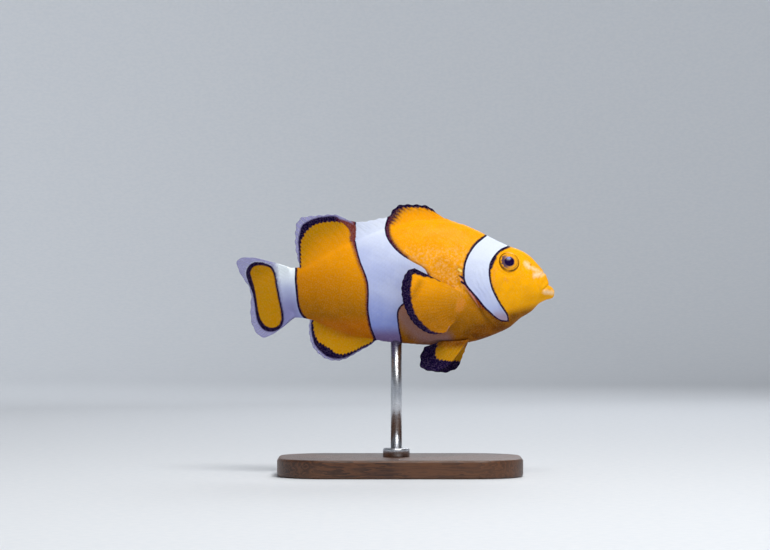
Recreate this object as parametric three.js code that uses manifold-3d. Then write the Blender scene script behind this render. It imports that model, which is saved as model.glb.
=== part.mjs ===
// A common clownfish, life size, as a still museum model on a plain display stand.
// Millimetres, +Z up. The snout points along +X and the fish's left side faces +Y.
// The origin is the middle of the stand's underside, on the floor.
//
// The body and the tail fin are modelled whole, and then parted by thin cuts into the pieces that a
// person would name. The other fins are thin sheets that end a cut's width above the skin. Heights
// in the outlines are measured from the body axis, a level line just above the lower lip.

import * as THREE from "three";
import { mergeVertices } from "three/addons/utils/BufferGeometryUtils.js";
import Module from "manifold-3d";

const wasm = await Module();
wasm.setup();

// ---- Driving dimensions -------------------------------------------------------------------------

const AXIS_HEIGHT = 50; // body axis above the floor
const CUT = 0.3; // width of the cuts that part the pieces
const COLUMNS = 28; // facets round the body
const LIPS = { length: 3.4, stations: 8, crowding: 1.7 }; // stations crowd towards the lips
const BODY_STATIONS = 30;
const SECTION_POWER = 1.08; // 1 gives elliptical sections, and more gives flatter flanks
const BEND_START = -4; // the body is straight in front of this x
const BEND_RATE = 0.018; // how fast the tail's centreline turns towards +Y, per mm
const GILL_COVER_THICKNESS = 1.6;
const FINEST_EDGE = 0.04; // slivers smaller than this are smoothed away
const FIN_EDGE = 0.28; // half thickness of every fin at its margin
const FIN_THINNING = 1.6; // a fin is that thin from 1 / 1.6 of its length outwards
const EYE = { x: 29.3, z: 7.6, radius: 3, depth: 1.7, sunk: 0.65 };

const BASE = { length: 66, width: 42, thickness: 5, corner: 14, chamfer: 0.8 };
const ROD = { x: -1, radius: 1.5 };
const COLLAR = { inner: 1.8, outer: 3.6, height: 2.4, chamfer: 0.6 };

// Outline of the body in side view, without fins, from the lip to the end of the tail: [x, height].
const BACK = [
  [41.8, -0.5], [41.7, -0.1], [41.3, 0.5], [40.8, 1.0], [40.3, 1.6], [40.0, 2.8], [39.4, 4.1],
  [38.9, 5.0], [37.0, 7.3], [35.1, 9.3], [32.4, 10.9], [28.9, 12.2], [24.0, 14.6], [20.2, 16.5],
  [16.2, 18.1], [13.0, 18.8], [9.7, 19.0], [5.4, 18.8], [1.4, 18.1], [-2.7, 17.0], [-6.8, 15.7],
  [-10.8, 14.0], [-14.9, 12.3], [-18.9, 10.4], [-23.0, 8.1], [-27.0, 6.3], [-32.4, 6.1],
];
const BELLY = [
  [41.8, -0.5], [41.7, -1.5], [41.2, -2.2], [40.2, -2.6], [39.4, -2.8], [37.8, -3.6],
  [35.4, -5.9], [32.4, -7.8], [29.4, -10.3], [25.7, -12.0], [21.6, -13.5], [17.6, -14.4],
  [13.5, -14.9], [8.1, -14.9], [2.7, -14.6], [-5.4, -13.8], [-12.2, -12.4], [-20.2, -9.7],
  [-24.3, -8.2], [-27.0, -7.7], [-32.4, -7.7],
];
// Half width of the body, and the height at which it is widest.
const HALF_WIDTH = [
  [41.8, 0.2], [41.7, 0.7], [41.3, 1.35], [40.3, 2.3], [38.9, 3.1], [37.0, 3.9], [35.1, 4.5],
  [32.4, 5.15], [29.7, 5.7], [25.7, 6.3], [21.6, 6.7], [17.6, 6.9], [13.5, 6.9], [8.1, 6.7],
  [2.7, 6.3], [-2.7, 5.7], [-8.1, 4.9], [-13.5, 4.0], [-18.9, 3.1], [-24.3, 2.3], [-28.0, 1.6],
  [-32.4, 0.3],
];
const WIDEST_AT = [
  [41.8, -0.5], [38.9, 0.8], [32.4, 1.6], [27.0, 1.4], [21.6, 1.1], [13.5, 1.9], [0.0, 2.2],
  [-13.5, 0.8], [-27.0, -0.7], [-32.4, -0.8],
];

// Outer margins of the fins in side view, each from its front end round to its rear end.
const DORSAL_MARGIN = [
  [17.2, 17.6], [14.0, 18.9], [12.2, 19.5], [10.8, 20.2], [9.7, 21.1], [8.4, 22.3], [7.0, 23.0],
  [5.4, 23.2], [2.7, 23.3], [0.0, 23.2], [-1.4, 22.5], [-2.4, 21.3], [-3.4, 19.9], [-5.4, 19.5],
  [-8.1, 18.9], [-10.8, 18.5], [-13.0, 18.7], [-14.9, 19.4], [-16.5, 20.2], [-18.1, 20.6],
  [-20.2, 20.5], [-24.3, 20.2], [-27.0, 19.7], [-28.1, 18.4], [-28.5, 14.9], [-28.4, 11.3],
  [-27.8, 8.1], [-27.2, 6.2],
];
const ANAL_MARGIN = [
  [-5.9, -13.2], [-8.1, -15.1], [-10.3, -16.3], [-12.7, -17.7], [-15.1, -18.9], [-17.6, -19.3],
  [-20.0, -18.8], [-22.1, -17.4], [-23.8, -15.4], [-24.6, -13.0], [-24.8, -10.8], [-24.6, -8.8],
  [-24.2, -7.9],
];
const TAIL_MARGIN = [
  [-31.5, 6.6], [-33.9, 7.4], [-36.7, 8.1], [-39.5, 8.8], [-42.3, 8.9], [-44.3, 8.4],
  [-45.0, 7.4], [-44.2, 5.3], [-42.9, 3.0], [-41.5, 0.9], [-40.9, -1.4], [-41.0, -4.1],
  [-41.0, -6.5], [-40.6, -9.2], [-39.3, -11.8], [-37.6, -13.1], [-35.6, -12.7], [-33.3, -11.3],
  [-31.3, -9.7], [-29.9, -8.2],
];
const ROOT_SINK = 1.2; // how deep the fins of the midline start inside the body
const DORSAL_ROOT = { from: 17.8, to: -26.6 };
const ANAL_ROOT = { from: -5.3, to: -24.0 };
const TAIL_ROOT = [[-29.5, 5.9], [-29.3, 3.5], [-29.2, -0.7], [-28.9, -4.5], [-28.4, -7.4]];

// Paired fins of the right side, in side view, each from its leading ray to its last ray.
const PECTORAL_ROOT = [[16.5, -0.4], [16.1, -2.7], [15.4, -5.4], [14.6, -8.1]];
const PECTORAL_MARGIN = [
  [3.8, 5.9], [2.2, 5.4], [0.9, 3.5], [0.2, 0.8], [0.3, -2.2], [1.1, -5.1], [2.7, -8.0],
  [5.1, -10.3], [7.8, -11.7], [10.3, -11.9], [12.4, -11.2], [13.2, -9.7],
];
const PECTORAL_SINK = 0.5;
const PECTORAL_FLARE = 0.45; // how far the fin stands out from the flank, per mm towards the tail
const PELVIC_ROOT = [[18.6, -13.4], [16.5, -13.8], [14.0, -13.9], [11.3, -13.9]];
const PELVIC_ROOT_Y = 2.4;
const PELVIC_FLARE = 0.3; // how far the fin stands out sideways, per mm downwards
// The left pelvic fin is carried a little further forward than the right one.
const PELVIC_MARGIN = {
  right: [
    [14.0, -19.2], [13.0, -20.3], [11.8, -21.2], [10.0, -22.0], [8.1, -22.0], [6.6, -21.6],
    [5.4, -21.1], [5.2, -19.2], [5.4, -17.3], [6.4, -15.4],
  ],
  left: [
    [16.2, -19.3], [16.1, -20.4], [15.1, -21.6], [13.5, -22.4], [11.6, -22.7], [9.6, -22.2],
    [8.2, -21.2], [7.2, -19.4], [6.9, -17.4], [7.8, -15.6],
  ],
};

// Lines of the cuts in side view.
const GILL_LINE = [
  [24.8, 20.5], [23.0, 14.6], [20.5, 11.9], [18.4, 9.2], [16.5, 6.5], [15.4, 3.8], [16.2, 1.5],
  [18.4, -0.8], [20.5, -3.5], [22.7, -6.8], [25.4, -9.7], [28.4, -12.4], [29.7, -16.0],
];
const CHEEK_LINE = [
  [17.6, 10.9], [19.8, 10.2], [22.2, 8.8], [24.0, 7.0], [24.8, 4.3], [25.1, 1.4], [25.9, -1.9],
  [27.2, -5.4], [27.9, -8.6], [26.9, -12.6],
];
const THROAT = [[15, -5], [32, -5], [32, -16], [15, -16]];
const THROAT_HALF_WIDTH = 1;
const TRUNK_LINE = [
  [-11.7, 24], [-12, 15], [-10.3, 7.5], [-8.5, 1], [-8.3, -6.5], [-6.3, -13.8], [-5, -17.5],
];
const TAIL_FIN_LINE = [[-30.4, 10.5], [-31.1, 6], [-31.5, 0], [-30.9, -5], [-29.3, -12.5]];
const MOUTH_LINE = [
  [44, 1.7], [40.4, 1.4], [38.6, 0.1], [37.3, -1.4], [36.2, -3.5], [35.6, -6.5], [35.3, -10],
];

// ---- Small helpers ------------------------------------------------------------------------------

// A smooth function of x through the points, with no overshoot between them.
function profile(points) {
  const p = [...points].sort((a, b) => a[0] - b[0]);
  const slope = p.slice(1).map((b, i) => (b[1] - p[i][1]) / (b[0] - p[i][0]));
  const tangent = p.map((_, i) => {
    if (i === 0) return slope[0];
    if (i === p.length - 1) return slope[i - 1];
    const [s, t] = [slope[i - 1], slope[i]];
    return s * t <= 0 ? 0 : (2 * s * t) / (s + t);
  });
  return (x) => {
    if (x <= p[0][0]) return p[0][1];
    if (x >= p[p.length - 1][0]) return p[p.length - 1][1];
    const i = p.findIndex((q) => q[0] > x) - 1;
    const h = p[i + 1][0] - p[i][0];
    const t = (x - p[i][0]) / h;
    const [t2, t3] = [t * t, t * t * t];
    return (2 * t3 - 3 * t2 + 1) * p[i][1] + (t3 - 2 * t2 + t) * h * tangent[i]
      + (3 * t2 - 2 * t3) * p[i + 1][1] + (t3 - t2) * h * tangent[i + 1];
  };
}

// [x, height] points as three.js vectors in the plane y = 0, and the smooth line through them.
const flatPoints = (points) => points.map(([x, z]) => new THREE.Vector3(x, 0, z));
const curveThrough = (points) => new THREE.CatmullRomCurve3(points, false, "centripetal");
const lineThrough = (points) => curveThrough(flatPoints(points));

// Carries a point of the straight fish to its place on the bent one.
function bend(p) {
  const behind = Math.max(0, BEND_START - p.x);
  const turn = Math.atan(BEND_RATE * behind);
  const middle = 0.5 * BEND_RATE * behind * behind;
  return new THREE.Vector3(p.x + p.y * Math.sin(turn), middle + p.y * Math.cos(turn), p.z);
}

// A closed mesh's geometry as a solid, and a solid as a geometry.
function solidOf(geometry) {
  const plain = new THREE.BufferGeometry();
  plain.setAttribute("position", geometry.getAttribute("position"));
  plain.setIndex(geometry.index);
  const merged = mergeVertices(plain, 1e-4);
  return new wasm.Manifold(new wasm.Mesh({
    numProp: 3,
    vertProperties: merged.attributes.position.array,
    triVerts: new Uint32Array(merged.index.array),
  }));
}

function geometryOf(solid) {
  const mesh = solid.simplify(FINEST_EDGE).getMesh();
  const geometry = new THREE.BufferGeometry();
  geometry.setAttribute("position", new THREE.BufferAttribute(new Float32Array(mesh.vertProperties), 3));
  geometry.setIndex(new THREE.BufferAttribute(new Uint32Array(mesh.triVerts), 1));
  const flat = geometry.toNonIndexed();
  flat.computeVertexNormals();
  return flat;
}

// A closed surface of points and the triangles between them, as a solid that faces outwards.
function closedSolid(points, triangles) {
  const geometry = new THREE.BufferGeometry().setFromPoints(points);
  geometry.setIndex(triangles);
  const solid = solidOf(geometry);
  if (solid.volume() > 0) return solid;
  geometry.setIndex([...triangles].reverse());
  return solidOf(geometry);
}

// ---- The body -----------------------------------------------------------------------------------

const backAt = profile(BACK);
const bellyAt = profile(BELLY);
const halfWidthAt = profile(HALF_WIDTH);
const widestAt = profile(WIDEST_AT);

// A point of the straight body's surface. turn is 0 on the left flank and a quarter turn on the
// back; grow moves the surface outwards.
function bodyPoint(x, turn, grow = 0) {
  const middle = widestAt(x);
  const up = Math.sin(turn);
  const reach = up > 0 ? backAt(x) + grow - middle : middle - bellyAt(x) + grow;
  const across = Math.sign(Math.cos(turn)) * Math.abs(Math.cos(turn)) ** SECTION_POWER;
  return new THREE.Vector3(x, (halfWidthAt(x) + grow) * across, middle + reach * up);
}

// Stations along the body, close together at the lips and wider apart behind the head.
function stations() {
  const front = BACK[0][0];
  const rear = BACK[BACK.length - 1][0];
  const found = [];
  for (let i = 1; i <= LIPS.stations; i++) {
    found.push(front - LIPS.length * (i / LIPS.stations) ** LIPS.crowding);
  }
  const first = found[found.length - 1];
  for (let i = 1; i <= BODY_STATIONS; i++) found.push(first + (rear - first) * (i / BODY_STATIONS));
  return found;
}

// The body as one closed solid. Its two ends are closed by fans.
function bodySolid(grow = 0) {
  const xs = stations();
  const tip = new THREE.Vector3(BACK[0][0] + grow, 0, BACK[0][1]);
  const tail = new THREE.Vector3(xs[xs.length - 1], 0, widestAt(xs[xs.length - 1]));
  const points = [bend(tip)];
  for (const x of xs) {
    for (let c = 0; c < COLUMNS; c++) points.push(bend(bodyPoint(x, (c / COLUMNS) * 2 * Math.PI, grow)));
  }
  points.push(bend(tail));
  const at = (ring, c) => 1 + ring * COLUMNS + (c % COLUMNS);
  const triangles = [];
  for (let c = 0; c < COLUMNS; c++) {
    triangles.push(0, at(0, c), at(0, c + 1));
    triangles.push(points.length - 1, at(xs.length - 1, c + 1), at(xs.length - 1, c));
    for (let r = 0; r < xs.length - 1; r++) {
      triangles.push(at(r, c), at(r + 1, c), at(r + 1, c + 1));
      triangles.push(at(r, c), at(r + 1, c + 1), at(r, c + 1));
    }
  }
  return closedSolid(points, triangles);
}

// ---- The fins -----------------------------------------------------------------------------------

// A fin as a closed sheet: rays run from the root line to the margin, and the sheet lies rootHalf
// on either side of its middle surface at the root and FIN_EDGE at the margin.
function finSolid(root, margin, { columns, rows, rootHalf }) {
  const [rootLine, marginLine] = [curveThrough(root), curveThrough(margin)];
  const middle = (u, v) => {
    const [from, to] = [rootLine.getPointAt(u), marginLine.getPointAt(u)];
    return bend(from.lerp(to, v));
  };
  const side = (u, v) => {
    const step = 0.02;
    const [u0, u1] = [Math.max(0, u - step), Math.min(1, u + step)];
    const [v0, v1] = [Math.max(0, v - step), Math.min(1, v + step)];
    const across = middle(u1, v).sub(middle(u0, v));
    const along = middle(u, v1).sub(middle(u, v0));
    return across.cross(along).normalize();
  };
  const points = [];
  for (const face of [1, -1]) {
    for (let i = 0; i <= columns; i++) {
      for (let j = 0; j <= rows; j++) {
        const [u, v] = [i / columns, j / rows];
        const half = rootHalf + (FIN_EDGE - rootHalf) * Math.min(1, v * FIN_THINNING);
        points.push(middle(u, v).addScaledVector(side(u, v), face * half));
      }
    }
  }
  const at = (face, i, j) => face * (columns + 1) * (rows + 1) + i * (rows + 1) + j;
  const triangles = [];
  const quad = (a, b, c, d) => triangles.push(a, b, c, a, c, d);
  for (let i = 0; i < columns; i++) {
    for (let j = 0; j < rows; j++) {
      quad(at(0, i, j), at(0, i + 1, j), at(0, i + 1, j + 1), at(0, i, j + 1));
      quad(at(1, i, j), at(1, i, j + 1), at(1, i + 1, j + 1), at(1, i + 1, j));
    }
    quad(at(0, i, 0), at(1, i, 0), at(1, i + 1, 0), at(0, i + 1, 0));
    quad(at(0, i, rows), at(0, i + 1, rows), at(1, i + 1, rows), at(1, i, rows));
  }
  for (let j = 0; j < rows; j++) {
    quad(at(0, 0, j), at(0, 0, j + 1), at(1, 0, j + 1), at(1, 0, j));
    quad(at(0, columns, j), at(1, columns, j), at(1, columns, j + 1), at(0, columns, j + 1));
  }
  return closedSolid(points, triangles);
}

// The root line of a fin of the midline, along the body's edge and sunk into it.
function sunkRoot(edgeAt, { from, to }, sink) {
  const count = 14;
  return Array.from({ length: count }, (_, i) => {
    const x = from + ((to - from) * i) / (count - 1);
    return new THREE.Vector3(x, 0, edgeAt(x) + sink);
  });
}

function dorsalFin() {
  const root = sunkRoot(backAt, DORSAL_ROOT, -ROOT_SINK);
  return finSolid(root, flatPoints(DORSAL_MARGIN), { columns: 34, rows: 2, rootHalf: 0.65 });
}

function analFin() {
  const root = sunkRoot(bellyAt, ANAL_ROOT, ROOT_SINK);
  return finSolid(root, flatPoints(ANAL_MARGIN), { columns: 16, rows: 2, rootHalf: 0.65 });
}

function tailFin() {
  const [root, margin] = [flatPoints(TAIL_ROOT), flatPoints(TAIL_MARGIN)];
  return finSolid(root, margin, { columns: 24, rows: 3, rootHalf: 0.8 });
}

// How far the flank lies from the middle plane at a point of the side view.
function flankAt(x, z) {
  const middle = widestAt(x);
  const reach = z > middle ? backAt(x) - middle : middle - bellyAt(x);
  const cosine = Math.sqrt(Math.max(0, 1 - ((z - middle) / reach) ** 2));
  return halfWidthAt(x) * cosine ** SECTION_POWER;
}

// The paired fins. side is -1 for the right and 1 for the left.
function pectoralFin(side) {
  const out = (x) => PECTORAL_FLARE * (PECTORAL_ROOT[0][0] - x);
  const root = PECTORAL_ROOT.map(([x, z]) => {
    return new THREE.Vector3(x, side * (flankAt(x, z) - PECTORAL_SINK), z);
  });
  const margin = PECTORAL_MARGIN.map(([x, z], i) => {
    const along = i / (PECTORAL_MARGIN.length - 1);
    const [first, last] = [root[0].y, root[root.length - 1].y];
    return new THREE.Vector3(x, first + (last - first) * along + side * out(x), z);
  });
  return finSolid(root, margin, { columns: 16, rows: 3, rootHalf: 0.6 });
}

function pelvicFin(side) {
  const outline = side < 0 ? PELVIC_MARGIN.right : PELVIC_MARGIN.left;
  const root = PELVIC_ROOT.map(([x, z]) => new THREE.Vector3(x, side * PELVIC_ROOT_Y, z));
  const margin = outline.map(([x, z]) => {
    const out = PELVIC_ROOT_Y + PELVIC_FLARE * (PELVIC_ROOT[0][1] - z);
    return new THREE.Vector3(x, side * out, z);
  });
  return finSolid(root, margin, { columns: 12, rows: 3, rootHalf: 0.6 });
}

// ---- Cutters ------------------------------------------------------------------------------------

const ACROSS = 25; // cutters reach this far to both sides of the middle plane

// A flat outline in side view, extruded across the fish from y = from to y = to.
function prism(outline, from, to) {
  const shape = new THREE.Shape(outline.map(([x, z]) => new THREE.Vector2(x, z)));
  const geometry = new THREE.ExtrudeGeometry(shape, { depth: to - from, bevelEnabled: false });
  geometry.rotateX(Math.PI / 2).translate(0, to, 0);
  return solidOf(geometry);
}

// A thin blade that follows a line of the side view, right through the fish.
function blade(points) {
  const line = lineThrough(points);
  const count = points.length * 2 - 2;
  const [upper, lower] = [[], []];
  for (let i = 0; i <= count; i++) {
    const p = line.getPointAt(i / count);
    const t = line.getTangentAt(i / count);
    upper.push([p.x - (t.z * CUT) / 2, p.z + (t.x * CUT) / 2]);
    lower.unshift([p.x + (t.z * CUT) / 2, p.z - (t.x * CUT) / 2]);
  }
  return prism([...upper, ...lower], -ACROSS, ACROSS);
}

// All that lies between a line of the side view and the level x = far.
function beside(points, far) {
  const line = lineThrough(points).getPoints(points.length * 3).map((p) => [p.x, p.z]);
  const corners = [[far, line[line.length - 1][1]], [far, line[0][1]]];
  return prism([...line, ...corners], -ACROSS, ACROSS);
}

// The blade that lifts a gill cover off the head: a thin layer under the skin, inside the outline
// that the gill line and the cheek line enclose.
function gillCoverBlades() {
  const aheadOfGill = beside(GILL_LINE, 60);
  const behindCheek = beside(CHEEK_LINE, 0);
  const throat = prism(THROAT, -THROAT_HALF_WIDTH, THROAT_HALF_WIDTH);
  const widerThroat = prism(THROAT, -THROAT_HALF_WIDTH - CUT, THROAT_HALF_WIDTH + CUT);
  const outer = bodySolid(-GILL_COVER_THICKNESS);
  const inner = bodySolid(-GILL_COVER_THICKNESS - CUT);
  const region = aheadOfGill.intersect(behindCheek);
  const under = outer.subtract(inner).intersect(region).subtract(throat);
  const rim = blade(CHEEK_LINE).intersect(aheadOfGill).subtract(inner);
  const keel = widerThroat.subtract(throat).intersect(region).subtract(inner);
  return under.add(rim).add(keel);
}

// ---- Eyes ---------------------------------------------------------------------------------------

// The eye of one side: a flattened ball that looks out and a little up and forward.
function eyeSolid(side, grow = 0) {
  const back = backAt(EYE.x) - widestAt(EYE.x);
  const turn = Math.asin((EYE.z - widestAt(EYE.x)) / back);
  const skin = bodyPoint(EYE.x, turn);
  const [dx, dz] = [0.5, 0.05];
  const ahead = bodyPoint(EYE.x + dx, turn).sub(skin);
  const above = bodyPoint(EYE.x, turn + dz).sub(skin);
  const out = above.cross(ahead).normalize();
  out.multiplyScalar(Math.sign(out.y));
  const centre = skin.clone().addScaledVector(out, -EYE.sunk);
  const ball = new THREE.SphereGeometry(1, 18, 12);
  ball.scale(EYE.radius + grow, EYE.depth + grow, EYE.radius + grow);
  ball.applyQuaternion(new THREE.Quaternion().setFromUnitVectors(new THREE.Vector3(0, 1, 0), out));
  ball.translate(centre.x, centre.y, centre.z);
  const solid = solidOf(ball);
  return side > 0 ? solid : solid.mirror([0, 1, 0]);
}

// ---- Parting the fish ---------------------------------------------------------------------------

// What is left of a solid after the cuts, as separate pieces from the largest to the smallest.
function parted(solid, cuts) {
  const left = cuts.reduce((rest, cut) => rest.subtract(cut), solid);
  return left.decompose().sort((a, b) => b.volume() - a.volume());
}

// The first of the pieces whose bounding box passes the test.
function pick(pieces, test) {
  return pieces.find((solid) => {
    const { min, max } = solid.boundingBox();
    return test(min, max);
  });
}

function fleshPieces() {
  const cuts = [
    blade(GILL_LINE), blade(TRUNK_LINE), blade(TAIL_FIN_LINE), blade(MOUTH_LINE), gillCoverBlades(),
    eyeSolid(1, CUT), eyeSolid(-1, CUT),
  ];
  const pieces = parted(bodySolid().add(tailFin()), cuts);
  return [
    ["trunk", pieces[0]],
    ["head", pieces[1]],
    ["tail", pieces[2]],
    ["gill_cover_right", pick(pieces, (low, high) => high[1] < 0)],
    ["gill_cover_left", pick(pieces, (low, high) => low[1] > 0 && low[0] > 0)],
    ["lower_jaw", pick(pieces, (low, high) => high[0] > 40 && high[2] < 3)],
    ["tail_fin", pick(pieces, (low) => low[0] < -40)],
  ];
}

function finPieces() {
  const shell = bodySolid(CUT);
  const pieces = parted(dorsalFin(), [shell, blade(TRUNK_LINE)]);
  const found = [
    ["dorsal_fin_front", pick(pieces, (low, high) => high[0] > 0)],
    ["dorsal_fin_rear", pick(pieces, (low, high) => high[0] < 0)],
    ["anal_fin", parted(analFin(), [shell])[0]],
  ];
  for (const [side, sign] of [["right", -1], ["left", 1]]) {
    found.push([`pectoral_fin_${side}`, parted(pectoralFin(sign), [shell])[0]]);
    found.push([`pelvic_fin_${side}`, parted(pelvicFin(sign), [shell])[0]]);
  }
  return found;
}

const eyes = [["eye_right", eyeSolid(-1)], ["eye_left", eyeSolid(1)]];

// ---- The stand ----------------------------------------------------------------------------------

function standBase() {
  const [x, y, r] = [BASE.length / 2 - BASE.chamfer, BASE.width / 2 - BASE.chamfer, BASE.corner];
  const shape = new THREE.Shape();
  shape.moveTo(x - r, -y).absarc(x - r, -y + r, r, -Math.PI / 2, 0, false);
  shape.absarc(x - r, y - r, r, 0, Math.PI / 2, false);
  shape.absarc(-x + r, y - r, r, Math.PI / 2, Math.PI, false);
  shape.absarc(-x + r, -y + r, r, Math.PI, 1.5 * Math.PI, false);
  const geometry = new THREE.ExtrudeGeometry(shape, {
    depth: BASE.thickness - 2 * BASE.chamfer,
    bevelThickness: BASE.chamfer,
    bevelSize: BASE.chamfer,
    bevelSegments: 1,
    curveSegments: 8,
  });
  return solidOf(geometry.translate(0, 0, BASE.chamfer));
}

function standCollar() {
  const { inner, outer, height, chamfer } = COLLAR;
  const section = [
    [inner, 0], [outer, 0], [outer, height - chamfer], [outer - chamfer, height], [inner, height],
    [inner, 0],
  ].map(([r, h]) => new THREE.Vector2(r, h));
  const ring = new THREE.LatheGeometry(section, 28).rotateX(Math.PI / 2);
  return solidOf(ring.translate(ROD.x, 0, BASE.thickness));
}

// The rod ends against the belly, which it carries.
function standRod() {
  const top = AXIS_HEIGHT + bellyAt(ROD.x) + 3;
  const height = top - BASE.thickness;
  const rod = new THREE.CylinderGeometry(ROD.radius, ROD.radius, height, 24).rotateX(Math.PI / 2);
  rod.translate(ROD.x, 0, BASE.thickness + height / 2);
  return parted(solidOf(rod), [bodySolid(CUT).translate([0, 0, AXIS_HEIGHT])])[0];
}

// ---- Materials ----------------------------------------------------------------------------------

const orange = new THREE.MeshStandardMaterial({ color: 0xf59a12, roughness: 0.5, metalness: 0 });
const white = new THREE.MeshStandardMaterial({ color: 0xe9ecf6, roughness: 0.5, metalness: 0 });
const finOrange = new THREE.MeshStandardMaterial({ color: 0xe08c10, roughness: 0.55, metalness: 0 });
const eyeDark = new THREE.MeshStandardMaterial({ color: 0x1a1626, roughness: 0.12, metalness: 0 });
const walnut = new THREE.MeshStandardMaterial({ color: 0x3a2519, roughness: 0.4, metalness: 0 });
const steel = new THREE.MeshStandardMaterial({ color: 0xb9bcc0, roughness: 0.3, metalness: 1 });

function finishOf(name) {
  if (name.startsWith("eye")) return eyeDark;
  if (name.includes("fin")) return finOrange;
  return name.startsWith("gill") ? white : orange;
}

// ---- Assembly -----------------------------------------------------------------------------------

function groupOf(named, materialOf) {
  const group = new THREE.Group();
  for (const [name, solid] of named) {
    const mesh = new THREE.Mesh(geometryOf(solid), materialOf(name));
    mesh.name = name;
    group.add(mesh);
  }
  return group;
}

const fish = groupOf([...fleshPieces(), ...finPieces(), ...eyes], finishOf);
fish.position.z = AXIS_HEIGHT;

const stand = groupOf([
  ["stand_base", standBase()],
  ["stand_collar", standCollar()],
  ["stand_rod", standRod()],
], (name) => (name === "stand_base" ? walnut : steel));

const clownfish = new THREE.Group();
clownfish.add(fish, stand);

export default clownfish;
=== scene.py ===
# %% [markdown]
# # A clownfish on a display stand
#
# The model is a life-size orange fish with three white bars, held in mid-swim by a steel rod on a
# walnut base. The solids of the construction give its size and outline. This lesson builds what
# is seen: one skin from the lips to the fin edges, a coat of scales over it, two wet eyes and the
# stand. Shapes are worked out in millimetres with numpy and become Blender meshes in metres.

# %% The solids of the construction
import math

import bpy
import numpy as np
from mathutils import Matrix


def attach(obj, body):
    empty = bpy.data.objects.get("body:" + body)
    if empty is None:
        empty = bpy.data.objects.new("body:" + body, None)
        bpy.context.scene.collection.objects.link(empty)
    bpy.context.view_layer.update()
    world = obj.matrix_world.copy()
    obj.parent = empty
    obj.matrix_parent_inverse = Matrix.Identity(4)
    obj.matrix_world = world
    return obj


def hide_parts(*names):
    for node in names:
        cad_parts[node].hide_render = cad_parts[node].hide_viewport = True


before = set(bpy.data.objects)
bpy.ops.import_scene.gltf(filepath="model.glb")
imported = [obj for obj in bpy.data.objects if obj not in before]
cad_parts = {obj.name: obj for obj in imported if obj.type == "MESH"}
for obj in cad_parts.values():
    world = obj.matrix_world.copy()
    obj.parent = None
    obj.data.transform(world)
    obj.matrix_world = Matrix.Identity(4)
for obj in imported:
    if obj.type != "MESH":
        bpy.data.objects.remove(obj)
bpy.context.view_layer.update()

MM = 0.001
print("solids to dress:", len(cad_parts))

# %% [markdown]
# ## The camera
#
# A long lens a good way off flattens the view as a telephoto lens does under water. The camera is
# level with the fish and square to its right flank. Its lens is worked out from how wide the
# picture is at the fish, so that the whole animal keeps a margin of empty space around it.

# %% The camera
VIEW_CENTRE = (-4.05, 54.05)
VIEW_DISTANCE = 1000.0
VIEW_WIDTH = 207.9
SENSOR = 36.0


def add_camera():
    """The level camera, square to the right flank."""
    data = bpy.data.cameras.new("camera")
    data.sensor_width = SENSOR
    data.lens = SENSOR * VIEW_DISTANCE / VIEW_WIDTH
    data.clip_start = 0.01
    camera = bpy.data.objects.new("camera", data)
    camera.location = (VIEW_CENTRE[0] * MM, -VIEW_DISTANCE * MM, VIEW_CENTRE[1] * MM)
    camera.rotation_euler = (math.radians(90), 0, 0)
    bpy.context.scene.collection.objects.link(camera)
    bpy.context.scene.camera = camera
    return camera


print("lens in mm:", round(add_camera().data.lens, 1))

# %% [markdown]
# ## Smooth lines
#
# Two kinds of line describe the fish. A profile gives one height for each place along the body
# and never overshoots its points, so the back stays clean. An outline is a curve that may turn
# back on itself, as a fin's margin does. Both are the same rules that shaped the solids.

# %% Profiles and outlines
def profile(points, at):
    """Values at the places of `at` of a smooth line through (place, value) points."""
    place, value = np.array(sorted(points), float).T
    step = np.diff(place)
    slope = np.diff(value) / step
    before, after = slope[:-1], slope[1:]
    same_way = before * after > 0
    inner = np.where(same_way, 2 * before * after / np.where(same_way, before + after, 1), 0)
    tangent = np.concatenate([slope[:1], inner, slope[-1:]])
    at = np.clip(np.asarray(at, float), place[0], place[-1])
    i = np.clip(np.searchsorted(place, at) - 1, 0, len(step) - 1)
    t = (at - place[i]) / step[i]
    start = value[i] * (1 + 2 * t) * (1 - t) ** 2 + tangent[i] * step[i] * t * (1 - t) ** 2
    end = value[i + 1] * t**2 * (3 - 2 * t) + tangent[i + 1] * step[i] * t**2 * (t - 1)
    return start + end


def outline(points, count, fine=24):
    """`count` evenly spaced points of the smooth curve through the given ones."""
    p = np.array(points, float)
    p = np.vstack([2 * p[0] - p[1], p, 2 * p[-1] - p[-2]])
    gap = np.linalg.norm(np.diff(p, axis=0), axis=1) ** 0.5
    pieces = []
    for k in range(1, len(p) - 2):
        a, b, c = gap[k - 1 : k + 2]
        leave = b * ((p[k] - p[k - 1]) / a - (p[k + 1] - p[k - 1]) / (a + b)) + p[k + 1] - p[k]
        arrive = b * ((p[k + 2] - p[k + 1]) / c - (p[k + 2] - p[k]) / (b + c)) + p[k + 1] - p[k]
        t = np.linspace(0, 1, fine, endpoint=False)[:, None]
        start = p[k] * (1 + 2 * t) * (1 - t) ** 2 + leave * t * (1 - t) ** 2
        pieces.append(start + p[k + 1] * t**2 * (3 - 2 * t) + arrive * t**2 * (t - 1))
    curve = np.vstack(pieces + [p[-2:-1]])
    length = np.concatenate([[0], np.cumsum(np.linalg.norm(np.diff(curve, axis=0), axis=1))])
    even = np.linspace(0, length[-1], count)
    return np.stack([np.interp(even, length, curve[:, axis]) for axis in range(p.shape[1])], 1)


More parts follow.
